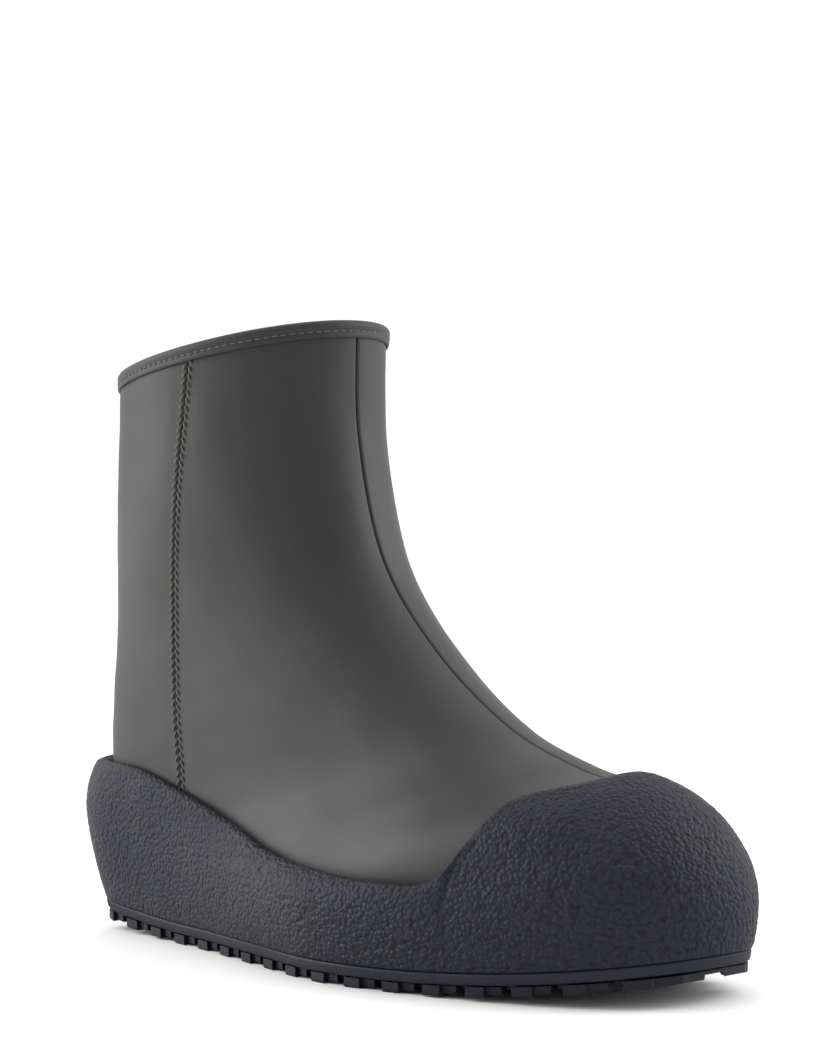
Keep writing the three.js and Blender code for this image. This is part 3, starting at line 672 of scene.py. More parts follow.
def leather_finish(name, base, pale, dark, grain=950.0):
    f = Finish(name, base, 0.5, specular_ior_level=0.33)
    grain_made = f.effect("leather", grain_scale=grain)
    f.tint(grain_made.outputs["Tone"], pale, 0.5)
    f.tint(grain_made.outputs["Marks"], dark, 0.12)
    f.tint(f.effect("wear", amount=0.5).outputs["Mask"], pale, 0.5)
    f.tint(f.effect("dust", amount=0.1).outputs["Mask"], pale, 0.5)
    f.rough(grain_made.outputs["Tone"], 0.5, 0.62)
    f.relief(grain_made.outputs["Height"], 0.00006, 0.5)
    return f.done()


def rubber_finish(name, base, pale, dark, grain=620.0, depth=0.0008, pit_shade=0.85):
    f = Finish(name, base, 0.65, specular_ior_level=0.22)
    pebble = f.effect("pebble", grain_scale=grain)
    f.tint(pebble.outputs["Tone"], pale, 0.35)
    # Painted shade: the pits between the pebbles are tinted towards the dark colour.
    f.tint(pebble.outputs["Pit Shade"], dark, pit_shade)
    f.tint(f.effect("wear", amount=0.5).outputs["Mask"], pale, 0.6)
    f.rough(pebble.outputs["Tone"], 0.42, 0.66)
    f.relief(pebble.outputs["Height"], depth, 0.9)
    return f.done()


def cloth_finish(name, base, pale):
    f = Finish(name, base, 0.9, sheen_weight=0.2)
    weave = f.effect("weave", threads=900.0)
    f.tint(weave.outputs["Tone"], pale, 0.4)
    f.rough(weave.outputs["Tone"], 0.8, 0.95)
    f.relief(weave.outputs["Height"], 0.00012, 0.7)
    return f.done()


def fibre_finish(name, base, pale, tufts=420.0, depth=0.0008):
    f = Finish(name, base, 0.95, sheen_weight=0.35)
    fibre = f.effect("fibre", tuft_scale=tufts)
    f.tint(fibre.outputs["Tone"], pale, 0.6)
    f.rough(fibre.outputs["Tone"], 0.85, 1.0)
    f.relief(fibre.outputs["Height"], depth, 0.7)
    return f.done()


def metal_finish(name, base, pale):
    f = Finish(name, base, 0.35, metallic=1.0)
    dust = f.effect("dust", amount=0.5)
    f.tint(dust.outputs["Mask"], pale, 0.3)
    f.tint(f.effect("wear", amount=0.9).outputs["Mask"], pale, 0.8)
    f.rough(dust.outputs["Mask"], 0.28, 0.45)
    grain_made = f.effect("leather", grain_scale=1500.0)
    f.relief(grain_made.outputs["Height"], 0.00001, 0.4)
    return f.done()


def thread_finish(name, base, pale):
    f = Finish(name, base, 0.6, sheen_weight=0.15)
    twist = f.effect("twist", plies=1400.0)
    f.tint(twist.outputs["Tone"], pale, 0.6)
    f.rough(twist.outputs["Tone"], 0.5, 0.7)
    f.relief(twist.outputs["Height"], 0.00008, 0.8)
    return f.done()


OLIVE_LEATHER = leather_finish(
    "olive_coated_leather", colour(37, 37, 37), colour(42, 42, 41), colour(29, 29, 29)
)
BINDING_LEATHER = leather_finish(
    "collar_binding_leather", colour(35, 35, 35), colour(43, 43, 42), colour(26, 26, 27), grain=1100.0
)
GUSSET_LEATHER = leather_finish(
    "gusset_leather", colour(54, 52, 48), colour(66, 64, 60), colour(40, 39, 37), grain=1200.0
)
PILE = fibre_finish("dark_pile_lining", colour(44, 41, 38), colour(74, 70, 64))
FELT = fibre_finish("grey_felt", colour(80, 78, 74), colour(112, 109, 103), 900.0, 0.0003)
NAVY_RUBBER = rubber_finish(
    "pebbled_navy_rubber", colour(22, 24, 36), colour(38, 40, 53), colour(6, 6, 11)
)
RAND_RUBBER = rubber_finish(
    "ribbed_rand_rubber", colour(27, 29, 39), colour(38, 41, 51), colour(16, 17, 25),
    grain=2200.0, depth=0.00006, pit_shade=0.2,
)
TREAD_RUBBER = rubber_finish(
    "tread_rubber", colour(15, 16, 28), colour(25, 26, 38), colour(8, 9, 15),
    grain=1600.0, depth=0.0001, pit_shade=0.3,
)
FOAM = rubber_finish(
    "midsole_foam", colour(70, 70, 72), colour(92, 92, 92), colour(50, 50, 52), grain=1500.0, depth=0.0002
)
CORK = rubber_finish(
    "pressed_cork", colour(150, 112, 74), colour(182, 145, 100), colour(92, 62, 38),
    grain=520.0, depth=0.0003, pit_shade=0.5,
)
BOARD = fibre_finish("stiffener_board", colour(176, 152, 112), colour(200, 180, 142), 600.0, 0.0001)
STEEL = metal_finish("shank_steel", colour(150, 152, 156), colour(190, 192, 195))
ZIP_METAL = metal_finish("dark_zip_metal", colour(64, 63, 60), colour(150, 146, 138))
ZIP_CLOTH = cloth_finish("zip_tape_cloth", colour(34, 33, 32), colour(58, 57, 54))
BROWN_THREAD = thread_finish("khaki_brown_thread", colour(60, 54, 49), colour(104, 92, 80))


# ---- The leather panels ---------------------------------------------------------------------------
PLACES = np.concatenate([
    np.linspace(COLLAR_ROW + 0.023, 6.0, 330),
    np.linspace(6.0, 10.93, 130)[1:],
])
skin = Skin(PLACES)


def zip_half(z, opening, low):
    """Half the width of a slot with a round foot, at each height."""
    foot = clamp((z - (low - 1)) / opening, 0, 1)
    return opening * np.sqrt(clamp(1 - (1 - foot) ** 2, 0, 1))


def medial_line(z):
    """Side seam on the medial side: straight behind the zip, then the seam below it."""
    return lerp(seam_q(z), ZIP_Q, smoothstep(z, ZIP_LOW - 26, ZIP_LOW - 2))


LATERAL_SEAM = skin.crossing(seam_q, False)
MEDIAL_FRONT = skin.crossing(lambda z: medial_line(z) + zip_half(z, ZIP_OPENING, ZIP_LOW), True)
MEDIAL_REAR = skin.crossing(lambda z: medial_line(z) - zip_half(z, ZIP_OPENING, ZIP_LOW), True)


def outline_inset(inset, steps=24):
    """The sole's outline drawn in by a distance that may change with q."""
    points = closed_curve(SHELL_OUTLINE, steps)
    way = outward_of(points)
    amount = inset(points[:, 0]) if callable(inset) else inset
    return points - way * np.reshape(amount, (-1, 1))


def outward_of(points):
    """Outward direction at each point of a closed outline."""
    step = np.roll(points, -1, 0) - np.roll(points, 1, 0)
    return unit(np.stack([step[:, 1], -step[:, 0]], -1))


def outline_sides(points):
    """Lateral and medial edges of an outline, as functions of q."""
    low, high = points[:, 0].argmin(), points[:, 0].argmax()
    rolled = np.roll(points, -low, 0)
    top = (high - low) % len(points)
    first, second = rolled[:top + 1], np.concatenate([rolled[top:], rolled[:1]])[::-1]

    def edge(chain):
        q = np.maximum.accumulate(chain[:, 0])
        return lambda at: np.interp(at, q, chain[:, 1])

    return edge(first), edge(second), rolled[0, 0], rolled[top, 0]


def lasting_window(points, margin=27.0):
    """Places under the foot that the leather's turned edge leaves open."""
    lateral, medial, low, high = outline_sides(outline_inset(margin))
    q, x, z = points[..., 0], points[..., 1], points[..., 2]
    return (z < SEAT_BASE + 12) & (q > low) & (q < high) & (x > lateral(q)) & (x < medial(q))


WINDOW = lasting_window(skin.points)
LATERAL_WINDOW = skin.first(WINDOW, False)
MEDIAL_WINDOW = skin.first(WINDOW, True)


def edge_columns(spacing, length, fine):
    """Shares from 0 to 1 across a panel, close together near both edges."""
    near = np.array(fine)
    count = max(4, int((length - 2 * near[-1]) / spacing))
    middle = np.linspace(near[-1], length - near[-1], count)
    return np.concatenate([near[:-1], middle, (length - near[:-1])[::-1]])


def rolled_edge(distance, radius):
    """Depth of a turned edge at a distance from it."""
    inside = clamp(1 - distance / radius, 0, 1)
    return radius * 0.75 * (1 - np.sqrt(clamp(1 - inside ** 2, 0, 1)))


EDGE_STEPS = [0, 0.08, 0.22, 0.42, 0.7, 1.05, 1.5, 2.1, 3.0]
EVEN_EDGE = 12.0  # columns keep their spacing this far in from a panel's edge
COLUMN_SPACING = 1.9
SWELL = 0.25  # how far the leather rises and falls
RIPPLE = 0.15


class Rows:
    """Some of a grid's rings."""

    def __init__(self, grid, keep):
        self.places = grid.places[keep]
        self.arcs, self.points, self.inward = grid.arcs[keep], grid.points[keep], grid.inward[keep]

    at = Skin.at


def panel(rows, start, end, radii, seed):
    """A closed leather wall between two arcs of each of some rings, with turned edges."""
    grid = Rows(skin, rows)
    start, end = start[rows] + GAP / 2, end[rows] - GAP / 2
    widest = (end - start).max()
    shape = edge_columns(COLUMN_SPACING, widest, EDGE_STEPS)
    near = shape <= widest / 2
    fixed = np.where(near, shape, widest - shape)[None, :]
    half = (end - start)[:, None] / 2
    kept = np.minimum(EVEN_EDGE, half / 2)
    beyond = kept + (fixed - EVEN_EDGE) * (half - kept) / (widest / 2 - EVEN_EDGE)
    distance = np.where(fixed <= EVEN_EDGE, fixed * kept / EVEN_EDGE, beyond)
    arcs = np.where(near[None, :], start[:, None] + distance, end[:, None] - distance)
    flat = grid.at(arcs, np.zeros(arcs.shape))
    rise = SWELL * (0.5 + 0.5 * soft_waves(flat, 90, seed)) + RIPPLE * soft_waves(flat, 28, seed + 5)
    rise *= smoothstep(distance, 0.5, 9)
    depth = np.where(near[None, :], rolled_edge(distance, radii[0]), rolled_edge(distance, radii[1]))
    outer = grid.at(arcs, depth - clamp(rise, 0, 1.0))
    inner = grid.at(arcs, np.full(arcs.shape, LEATHER))
    return slab(outer, inner)


def instead_of(old, made):
    """Hides the CAD node that a piece stands for, and gives the piece back."""
    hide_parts(old)
    return made


every = np.arange(len(PLACES))
heel_rows = every[PLACES < 5.25]
front_end = np.minimum(LATERAL_SEAM, LATERAL_WINDOW)
medial_start = np.maximum(MEDIAL_FRONT, MEDIAL_WINDOW)

for name, old, rows, start, end, radii, seed in (
    ("lateral_leather", "lateral_panel", every, np.zeros(len(every)), front_end, (1.3, 1.0), 3),
    ("medial_leather", "medial_panel", every, medial_start, skin.girth, (1.0, 1.3), 11),
    ("heel_leather", "heel_panel", heel_rows, LATERAL_SEAM, MEDIAL_REAR, (1.0, 1.0), 23),
):
    sides = panel(rows, start, end, radii, seed)
    instead_of(old, piece(name, *sides, OLIVE_LEATHER, slot="upper_leather"))


# ---- Collar binding -------------------------------------------------------------------------------
def collar_points(angles, down, depth):
    """Points a distance below the collar's edge, at a depth below the skin. The arrays share one shape."""
    top, _ = upper_skin(np.full(angles.shape, COLLAR_ROW), angles)
    below, _ = upper_skin(np.full(angles.shape, COLLAR_ROW + 0.2), angles)
    drop = np.linalg.norm(below - top, axis=-1) / 0.2
    skin_at, inward = upper_skin(COLLAR_ROW + down / drop, angles)
    return skin_at + inward * depth[..., None]


def collar_angle(q, guess):
    """Angle on the medial side at which the collar's ring passes a q."""
    angles = np.linspace(guess - 1.2, guess + 1.2, 4000)
    points, _ = upper_skin(np.full(angles.shape, COLLAR_ROW), angles)
    return angles[np.abs(points[:, 0] - q).argmin()]


ring_start = collar_angle(ZIP_Q + ZIP_OPENING, 1.5 * np.pi) - 2 * np.pi
ring_end = collar_angle(ZIP_Q - ZIP_OPENING, 1.5 * np.pi)


def even_angles(start, end, spacing):
    """Angles round the collar at an even spacing."""
    fine = np.linspace(start, end, 6000)
    points, _ = upper_skin(np.full(fine.shape, COLLAR_ROW), fine)
    length = running_length(points)
    return np.interp(np.linspace(0, length[-1], int(length[-1] / spacing)), length, fine)


BINDING_PROFILE = np.array([  # distance below the edge, depth below the skin
    [6.6, -0.32], [6.75, -0.7], [6.5, -1.12], [6.0, -1.28], [5.2, -1.3], [4.7, -1.12], [4.2, -1.02],
    [3.7, -1.14], [3.0, -1.4], [2.2, -1.5], [1.4, -1.38], [0.7, -1.0], [0.2, -0.3], [-0.05, 0.8],
    [-0.1, 2.1], [0.0, 3.5], [0.3, 4.7], [0.9, 5.4], [1.7, 5.75], [2.8, 5.8], [4.2, 5.55], [5.6, 5.7],
    [6.4, 5.6], [6.6, 5.2], [6.5, 4.65], [4.0, 4.62], [2.0, 4.6], [1.1, 4.2], [0.95, 2.1], [1.1, 0.2],
    [2.0, -0.3], [4.0, -0.32],
])
binding_angles = even_angles(ring_start, ring_end, 1.1)
angle_grid = np.repeat(binding_angles[:, None], len(BINDING_PROFILE), 1)
pull = 0.12 * np.sin(np.arange(len(binding_angles)) * 2 * np.pi / 3.0)[:, None]
profile_down = np.repeat(BINDING_PROFILE[None, :, 0], len(binding_angles), 0)
profile_depth = np.repeat(BINDING_PROFILE[None, :, 1], len(binding_angles), 0)
stitch_row = np.exp(-((profile_down - 4.3) / 0.7) ** 2) * (profile_depth < -0.5)
binding_rings = collar_points(angle_grid, profile_down, profile_depth + pull * stitch_row)
instead_of("collar_binding", piece(
    "collar_fold_binding", *tube(binding_rings), BINDING_LEATHER, slot="binding_leather"
))


# ---- Stitches -------------------------------------------------------------------------------------
def stitches(starts, ends, normals, radius, rise):
    """Short sunk loops of thread between pairs of points."""
    share = np.array([0, 0.1, 0.3, 0.5, 0.7, 0.9, 1.0])
    height = np.array([-0.45, 0.0, 0.75, 1.0, 0.75, 0.0, -0.45]) * rise
    thick = np.array([0.35, 0.8, 1.0, 1.0, 1.0, 0.8, 0.35]) * radius
    way = unit(ends - starts)
    side = unit(np.cross(normals, way))
    up = np.cross(way, side)
    turn = np.linspace(0, 2 * np.pi, 9)[:-1]
    parts = []
    for a, b, u, s in zip(starts, ends, up, side):
        centre = a + (b - a) * share[:, None] + u * height[:, None]
        spoke = np.cos(turn)[:, None] * u + np.sin(turn)[:, None] * s
        ring = centre[:, None] + thick[:, None, None] * spoke
        parts.append(tube(ring))
    return joined(parts)


def stitch_run(path, normals, pitch, length, slant=0.0, phase=0.0):
    """Starts, ends and normals of stitches along a path, each slanted sideways by a distance."""
    total = running_length(path)
    count = int((total[-1] - phase - length) / pitch)
    first = phase + np.arange(count) * pitch
    start, end = resample(path, first), resample(path, first + length)
    at = np.stack([np.interp(first, total, normals[:, k]) for k in range(3)], -1)
    side = unit(np.cross(at, unit(end - start)))
    return start - side * slant, end + side * slant, unit(at)


STITCH_PITCH = 3.3
THREAD_RADIUS = 0.27
THREAD_RISE = 0.26
ROW_DOWN = 4.2  # the binding's stitches below its edge
ROW_DEPTH = -1.05
BRAID_PITCH = 3.0
BRAID_LENGTH = 2.5
BRAID_HALF = 1.45
BRAID_SLANT = 0.75

row_angles = even_angles(ring_start + 0.03, ring_end - 0.03, 0.8)
row_path = collar_points(
    row_angles, np.full(row_angles.shape, ROW_DOWN), np.full(row_angles.shape, ROW_DEPTH)
)
_, row_in = upper_skin(np.full(row_angles.shape, COLLAR_ROW + 0.08), row_angles)
row_run = stitch_run(row_path, -row_in, STITCH_PITCH, 2.35)
piece(
    "collar_stitching", *stitches(*row_run, radius=THREAD_RADIUS, rise=THREAD_RISE),
    BROWN_THREAD, slot="binding_leather",
)


def seam_path(arcs, offset, rows):
    """Path along a seam at a distance to one side, with its outward directions."""
    grid = Rows(skin, rows)
    at = arcs[rows][:, None] + offset
    path = grid.at(at, np.zeros(at.shape))[:, 0]
    under = grid.at(at, np.ones(at.shape))[:, 0]
    return path, unit(path - under)


seam_rows = every[(PLACES > COLLAR_ROW + 0.13) & (PLACES < 5.0)]
seam_parts = []
for sign, phase in ((-1, 0.0), (1, BRAID_PITCH / 2)):
    path, normals = seam_path(LATERAL_SEAM, sign * BRAID_HALF, seam_rows)
    run = stitch_run(path, normals, BRAID_PITCH, BRAID_LENGTH, -sign * BRAID_SLANT, phase)
    seam_parts.append(stitches(*run, radius=0.45, rise=0.4))
for arcs, offset in ((MEDIAL_FRONT, 2.6), (MEDIAL_REAR, -2.6)):
    path, normals = seam_path(arcs, offset, seam_rows)
    run = stitch_run(path, normals, STITCH_PITCH, 2.5)
    seam_parts.append(stitches(*run, radius=THREAD_RADIUS, rise=THREAD_RISE))
piece("seam_stitching", *joined(seam_parts), BROWN_THREAD, slot="upper_leather")


# ---- Rubber shell ---------------------------------------------------------------------------------
HEEL_TUCK = 3.3  # more than in the middle
TOE_TUCK = 2.4  # less than in the middle
MIDDLE_TUCK = 4.4
HEEL_BULGE_RISE = 15


def at_heel(q, start=15, end=120):
    """1 at the heel, falling to 0 in front of it."""
    return 1 - smoothstep(q, start, end)


def shell_tuck(q):
    """How far the shell draws in from its widest line to the rand."""
    return MIDDLE_TUCK + HEEL_TUCK * at_heel(q, 15, 100) - TOE_TUCK * smoothstep(q, 200, 300)


def shell_bulge(q):
    """Height of the shell's widest line above the floor."""
    return SHELL_FOOT + BULGE_HEIGHT + sole_lift(q) + HEEL_BULGE_RISE * at_heel(q)


SECTION_TABLE = section_at(np.linspace(0, len(SECTIONS) - 1, 441))


def inside_upper(points):
    """Whether each place lies inside the upper's outer skin."""
    flat = points.reshape(-1, 3)
    q, x, z = flat[:, 0:1], flat[:, 1], flat[:, 2:3]
    front, back = SECTION_TABLE[:, 0:2], SECTION_TABLE[:, 2:4]
    run = front - back
    side = run[:, 0] * (z - back[:, 1]) - run[:, 1] * (q - back[:, 0])
    change = (side[:, :-1] < 0) != (side[:, 1:] < 0)
    found = change.any(axis=1)
    i = change.argmax(axis=1) + 1
    s = SECTION_TABLE[i]
    deep, tall = s[:, 0] - s[:, 2], s[:, 1] - s[:, 3]
    a = (flat[:, 0] - s[:, 2]) * deep + (flat[:, 2] - s[:, 3]) * tall
    a /= deep ** 2 + tall ** 2
    ahead = a > s[:, 6]
    power = np.where(ahead, s[:, 7], s[:, 8])
    reach = np.where(ahead, (a - s[:, 6]) / (1 - s[:, 6]), (s[:, 6] - a) / s[:, 6])
    width = np.where(x < 0, s[:, 4], s[:, 5])
    inside = (reach < 1) & (np.abs(x / width) ** power + np.abs(clamp(reach, 0, 1)) ** power < 1)
    return (found & inside).reshape(points.shape[:-1])


def depth_to_upper(points, way, limit, step=0.25):
    """How far each place is from the upper along a direction, up to a limit."""
    result = np.full(points.shape[:-1], float(limit))
    open_still = np.ones(points.shape[:-1], bool)
    for d in np.arange(0, limit, step):
        if not open_still.any():
            break
        hit = np.zeros_like(open_still)
        hit[open_still] = inside_upper(points[open_still] + way[open_still] * d)
        result[hit] = d
        open_still &= ~hit
    return result


plan = closed_curve(SHELL_OUTLINE, 8)
plan_way = outward_of(plan)
RIB_RISE = np.array([0.12, 0.3, 0.5, 0.7, 0.85, 1.0])
DOME_TURNS = np.array([0.1, 0.25, 0.45, 0.65, 0.85, 1.0])
DOME_ROUND = 1.9


def shell_ribs():
    """Control points of the shell's outer face: one rib for each point of the outline, from foot to top."""
    q, x = plan[:, 0], plan[:, 1]
    way = plan_way
    foot = SHELL_FOOT + sole_lift(q)
    edge = np.interp(clamp(q, 0, 216), EDGE_LINE[:, 0], EDGE_LINE[:, 1])
    bulge = np.minimum(shell_bulge(q), edge - 6)
    start = np.stack([q, x, edge - 1], -1)
    inward = np.stack([-way[:, 0], -way[:, 1], np.zeros(len(q))], -1)
    taper = depth_to_upper(start, inward, 45.0) - RIM_WALL

    def toward(inset, z):
        return np.stack([q - way[:, 0] * inset, x - way[:, 1] * inset, z], -1)

    tuck = shell_tuck(q)
    slope = 2 - 0.55 * at_heel(q)
    rows = [toward(tuck * f ** slope, lerp(bulge, foot, f)) for f in (1.0, 0.85, 0.65, 0.45, 0.22)]
    rows.append(toward(0, bulge))
    crown = np.array([TOE_CAP_CROWN[0], 0, SEAT_BASE + TOE_CAP_CROWN[1]])
    dome = smoothstep(q, 186, 222)[:, None]
    middle = np.stack([np.minimum(q, crown[0] - 40), np.zeros(len(q)), np.full(len(q), SEAT_BASE + 18)], -1)
    for f, turns in zip(RIB_RISE, DOME_TURNS):
        wall = toward(taper * f * f, lerp(bulge, edge + 3, f))
        turn = turns * np.pi / 2 * 0.98
        reach, rise = 1 - math.cos(turn) ** (2 / DOME_ROUND), math.sin(turn) ** (2 / DOME_ROUND)
        cap = np.stack([lerp(q, crown[0], reach), lerp(x, 0, reach), lerp(bulge, crown[2], rise)], -1)
        point = lerp(wall, cap, dome)
        away = unit(point - middle)
        for _ in range(60):
            poking = inside_upper(point - away * LEAST_WALL)
            if not poking.any():
                break
            point = point + away * (0.4 * poking)[:, None]
        rows.append(point)
    return np.stack(rows)


def smooth_columns(values, turns):
    """Evens a closed row of values out along it."""
    for _ in range(turns):
        values = 0.25 * np.roll(values, 1, 1) + 0.5 * values + 0.25 * np.roll(values, -1, 1)
    return values


def closed_columns(rows, count):
    """Rows of points resampled to more columns round a closed outline."""
    n = rows.shape[1]
    t = np.arange(count) * n / count
    i = t.astype(int)
    f = (t - i)[None, :, None]
    return catmull(rows[:, i - 1], rows[:, i], rows[:, (i + 1) % n], rows[:, (i + 2) % n], f)


def above_edge(points):
    """How far places are over the shell's upper edge line, negative inside the shell."""
    height = np.interp(points[..., 0], EDGE_LINE[:, 0], EDGE_LINE[:, 1])
    steep = points[..., 2] - height
    past_end = EDGE_LINE[-1, 0] - points[..., 0]
    return np.minimum(steep, past_end * 3)


def grid_normals(grid):
    """Direction square to a closed grid at each of its points."""
    across = np.roll(grid, -1, 1) - np.roll(grid, 1, 1)
    up = np.gradient(grid, axis=0)
    return unit(np.cross(up, across))


SHELL_COLUMNS = 1240
SHELL_ROWS = 120
FINE_ROWS = 240
FIRST_RIM_ROW = 90  # fine rows below this one are never over the edge
WALL_STEP = 8  # the wall is measured on every eighth row
LEAST_EDGE = 1.2
RIM_ROUND = 2.6
ribs = smooth_columns(shell_ribs(), 2)
ribs = closed_columns(ribs, SHELL_COLUMNS)
fine = along(ribs, np.linspace(0, len(ribs) - 1, FINE_ROWS))
over = above_edge(fine)
over[:FIRST_RIM_ROW] = -1
crossed = (over > 0).argmax(axis=0)
outer = np.empty((SHELL_ROWS, SHELL_COLUMNS, 3))
rim_up = np.empty((SHELL_COLUMNS, 3))
for column in range(SHELL_COLUMNS):
    k = crossed[column]
    f = over[k - 1, column] / (over[k - 1, column] - over[k, column])
    path = np.concatenate([fine[:k, column], lerp(fine[k - 1, column], fine[k, column], f)[None]])
    total = running_length(path)[-1]
    outer[:, column] = resample(path, np.linspace(0, total - RIM_ROUND, SHELL_ROWS))
    rim_up[column] = outer[-1, column] - outer[-4, column]
rim_up = unit(smooth_columns(rim_up[None], 6)[0])
outer = smooth_columns(outer, 4)
normals = grid_normals(outer)
if (normals[20, :, :2] * (outer[20, :, :2] - np.array([150, 0]))).sum() < 0:
    normals = -normals
wall = depth_to_upper(outer[::WALL_STEP], -normals[::WALL_STEP], SHELL_WALL + GAP) - GAP
every_row = np.arange(SHELL_ROWS)
measured = every_row[::WALL_STEP]
wall = np.stack([np.interp(every_row, measured, wall[:, column]) for column in range(SHELL_COLUMNS)], 1)
wall = clamp(smooth_columns(wall, 12), LEAST_EDGE, SHELL_WALL)
inner = outer - normals * wall[..., None]

grain_strength = lerp(0.55, 1.0, smoothstep(outer[..., 0], 40, 180))
fade = smoothstep(every_row[::-1][:, None], 0, 4) * smoothstep(every_row[:, None], 0, 3)
warp = np.stack([soft_waves(outer, 4.0, s) for s in (1, 2, 3)], -1) * 0.35
pebbles = 1 - cell_distance(outer + warp, 1.75, 4) * 1.15
small = 1 - cell_distance(outer + warp, 1.0, 9) * 1.15
relief = (0.42 * pebbles + 0.16 * small) * grain_strength * fade
outer = outer + normals * relief[..., None]

rim_wall = wall[-1]
round_size = np.minimum(RIM_ROUND, rim_wall * 0.62)
lip = []
base = outer[-1]
side_in = -normals[-1]
for turn in np.linspace(0.2, 1.0, 6) * np.pi / 2:
    across = (round_size * (1 - math.cos(turn)))[:, None]
    lip.append(base + side_in * across + rim_up * (RIM_ROUND * math.sin(turn)))
lip.append(base + side_in * (rim_wall * 0.9)[:, None] + rim_up * 1.3)
lip.append(base + side_in * rim_wall[:, None] + rim_up * 0.5)
inside_rows = inner[::-1][4::10]
shell_rows = np.concatenate([outer, np.stack(lip), inside_rows, inner[:1]])
shell_points = shell_rows.reshape(-1, 3)
shell_faces = ring_quads(len(shell_rows), SHELL_COLUMNS)
instead_of("rubber_shell", piece(
    "pebbled_shell", shell_points, shell_faces, NAVY_RUBBER, slot="shell_rubber"
))


# ---- Rand -----------------------------------------------------------------------------------------
RAND_PROFILE = np.array([  # distance in from the face, height from foot to top as a share
    [0.75, 0.0], [0.3, 0.05], [0.08, 0.16], [0.0, 0.35], [0.0, 0.55], [0.0, 0.75], [0.1, 0.9],
    [0.45, 1.0], [2.5, 1.0], [5.6, 1.0], [6.0, 0.85], [6.0, 0.5], [6.0, 0.15], [5.6, 0.0],
    [3.2, 0.0], [1.8, 0.0],
])
RAND_COLUMNS = 2600
RIB_PITCH = 1.25
RIB_HEIGHT = 0.16
RIB_SLANT = 1.7  # ribs by which the top of a rib is ahead of its foot


def rand_ring():
    """Sections of the rand round the sole, with slanted ribs on its face."""
    line = closed_curve(SHELL_OUTLINE, 120)
    line = np.concatenate([line, line[:1]])
    line = resample(line, np.linspace(0, running_length(line)[-1], RAND_COLUMNS + 1))[:-1]
    way = outward_of(line)
    q = line[:, 0]
    place = np.arange(RAND_COLUMNS) / RAND_COLUMNS * round(running_length(line)[-1] / RIB_PITCH)
    face = RAND_PROFILE[:, 0] < 0.2
    rings = []
    for k, (inset, share) in enumerate(RAND_PROFILE):
        height = RAND_FOOT + sole_lift(q) + (RAND_TOP - RAND_FOOT) * share
        slope = 0.8 * (1 - share)
        wave = 0.5 + 0.5 * np.sin(2 * np.pi * (place + RIB_SLANT * share))
        ribs_out = RIB_HEIGHT * wave if face[k] else 0.0
        distance = shell_tuck(q) + 0.25 + inset + (slope if inset < 1 else 0) - ribs_out
        rings.append(np.stack([q - way[:, 0] * distance, line[:, 1] - way[:, 1] * distance, height], -1))
    return np.stack(rings, 1)


rand_points = rand_ring().reshape(-1, 3)
rand_faces = ring_quads(RAND_COLUMNS, len(RAND_PROFILE))
instead_of("rand_strip", piece("ribbed_rand", rand_points, rand_faces, RAND_RUBBER, slot="rand_rubber"))


# ---- Tread ----------------------------------------------------------------------------------------
def plan_sheet(inset, low, high, rows=150, columns=24):
    """A closed sheet that fills the sole's outline between two heights above the lifted floor."""
    lateral, medial, q0, q1 = outline_sides(outline_inset(inset))
    turn = np.linspace(0.02, 0.98, rows) * np.pi
    q = lerp(q0, q1, 0.5 - 0.5 * np.cos(turn))
    share = np.linspace(0, 1, columns)
    x = lateral(q)[:, None] + (medial(q) - lateral(q))[:, None] * share
    grid_q = np.repeat(q[:, None], columns, 1)
    lifted = sole_lift(grid_q)
    return slab(np.stack([grid_q, x, lifted + low], -1), np.stack([grid_q, x, lifted + high], -1))


def lug(loop, foot, top, chamfer=0.45):
    """A block with a chamfered foot, from a loop of points that goes round it."""
    loop = np.asarray(loop, float)
    centre = loop.mean(0)
    inward = unit(centre - loop)
    rings = []
    for height, inset in ((top, 0), (foot + 0.9, 0.05), (foot + 0.35, 0.15), (foot, chamfer)):
        ring = loop + inward * inset
        rings.append(np.concatenate([ring, (sole_lift(ring[:, 0]) + height)[:, None]], 1))
    return tube(np.stack(rings))


def lug_loop(q0, q1, near, far, steps=4):
    """Corners of a lug between two q and two edges given as functions of q."""
    q = np.linspace(q0, q1, steps)
    first = np.stack([q, near(q)], -1)
    second = np.stack([q, far(q)], -1)[::-1]
    return np.concatenate([first, second])


def moved(edge, distance):
    """An edge shifted sideways."""
    return lambda q: edge(q) + distance


def slanted(begin, slope, start_q):
    """A straight edge at a slant."""
    return lambda q: begin + slope * (q - start_q)


LUG_PITCH = 17.0
LUG_GROOVE = 4.6


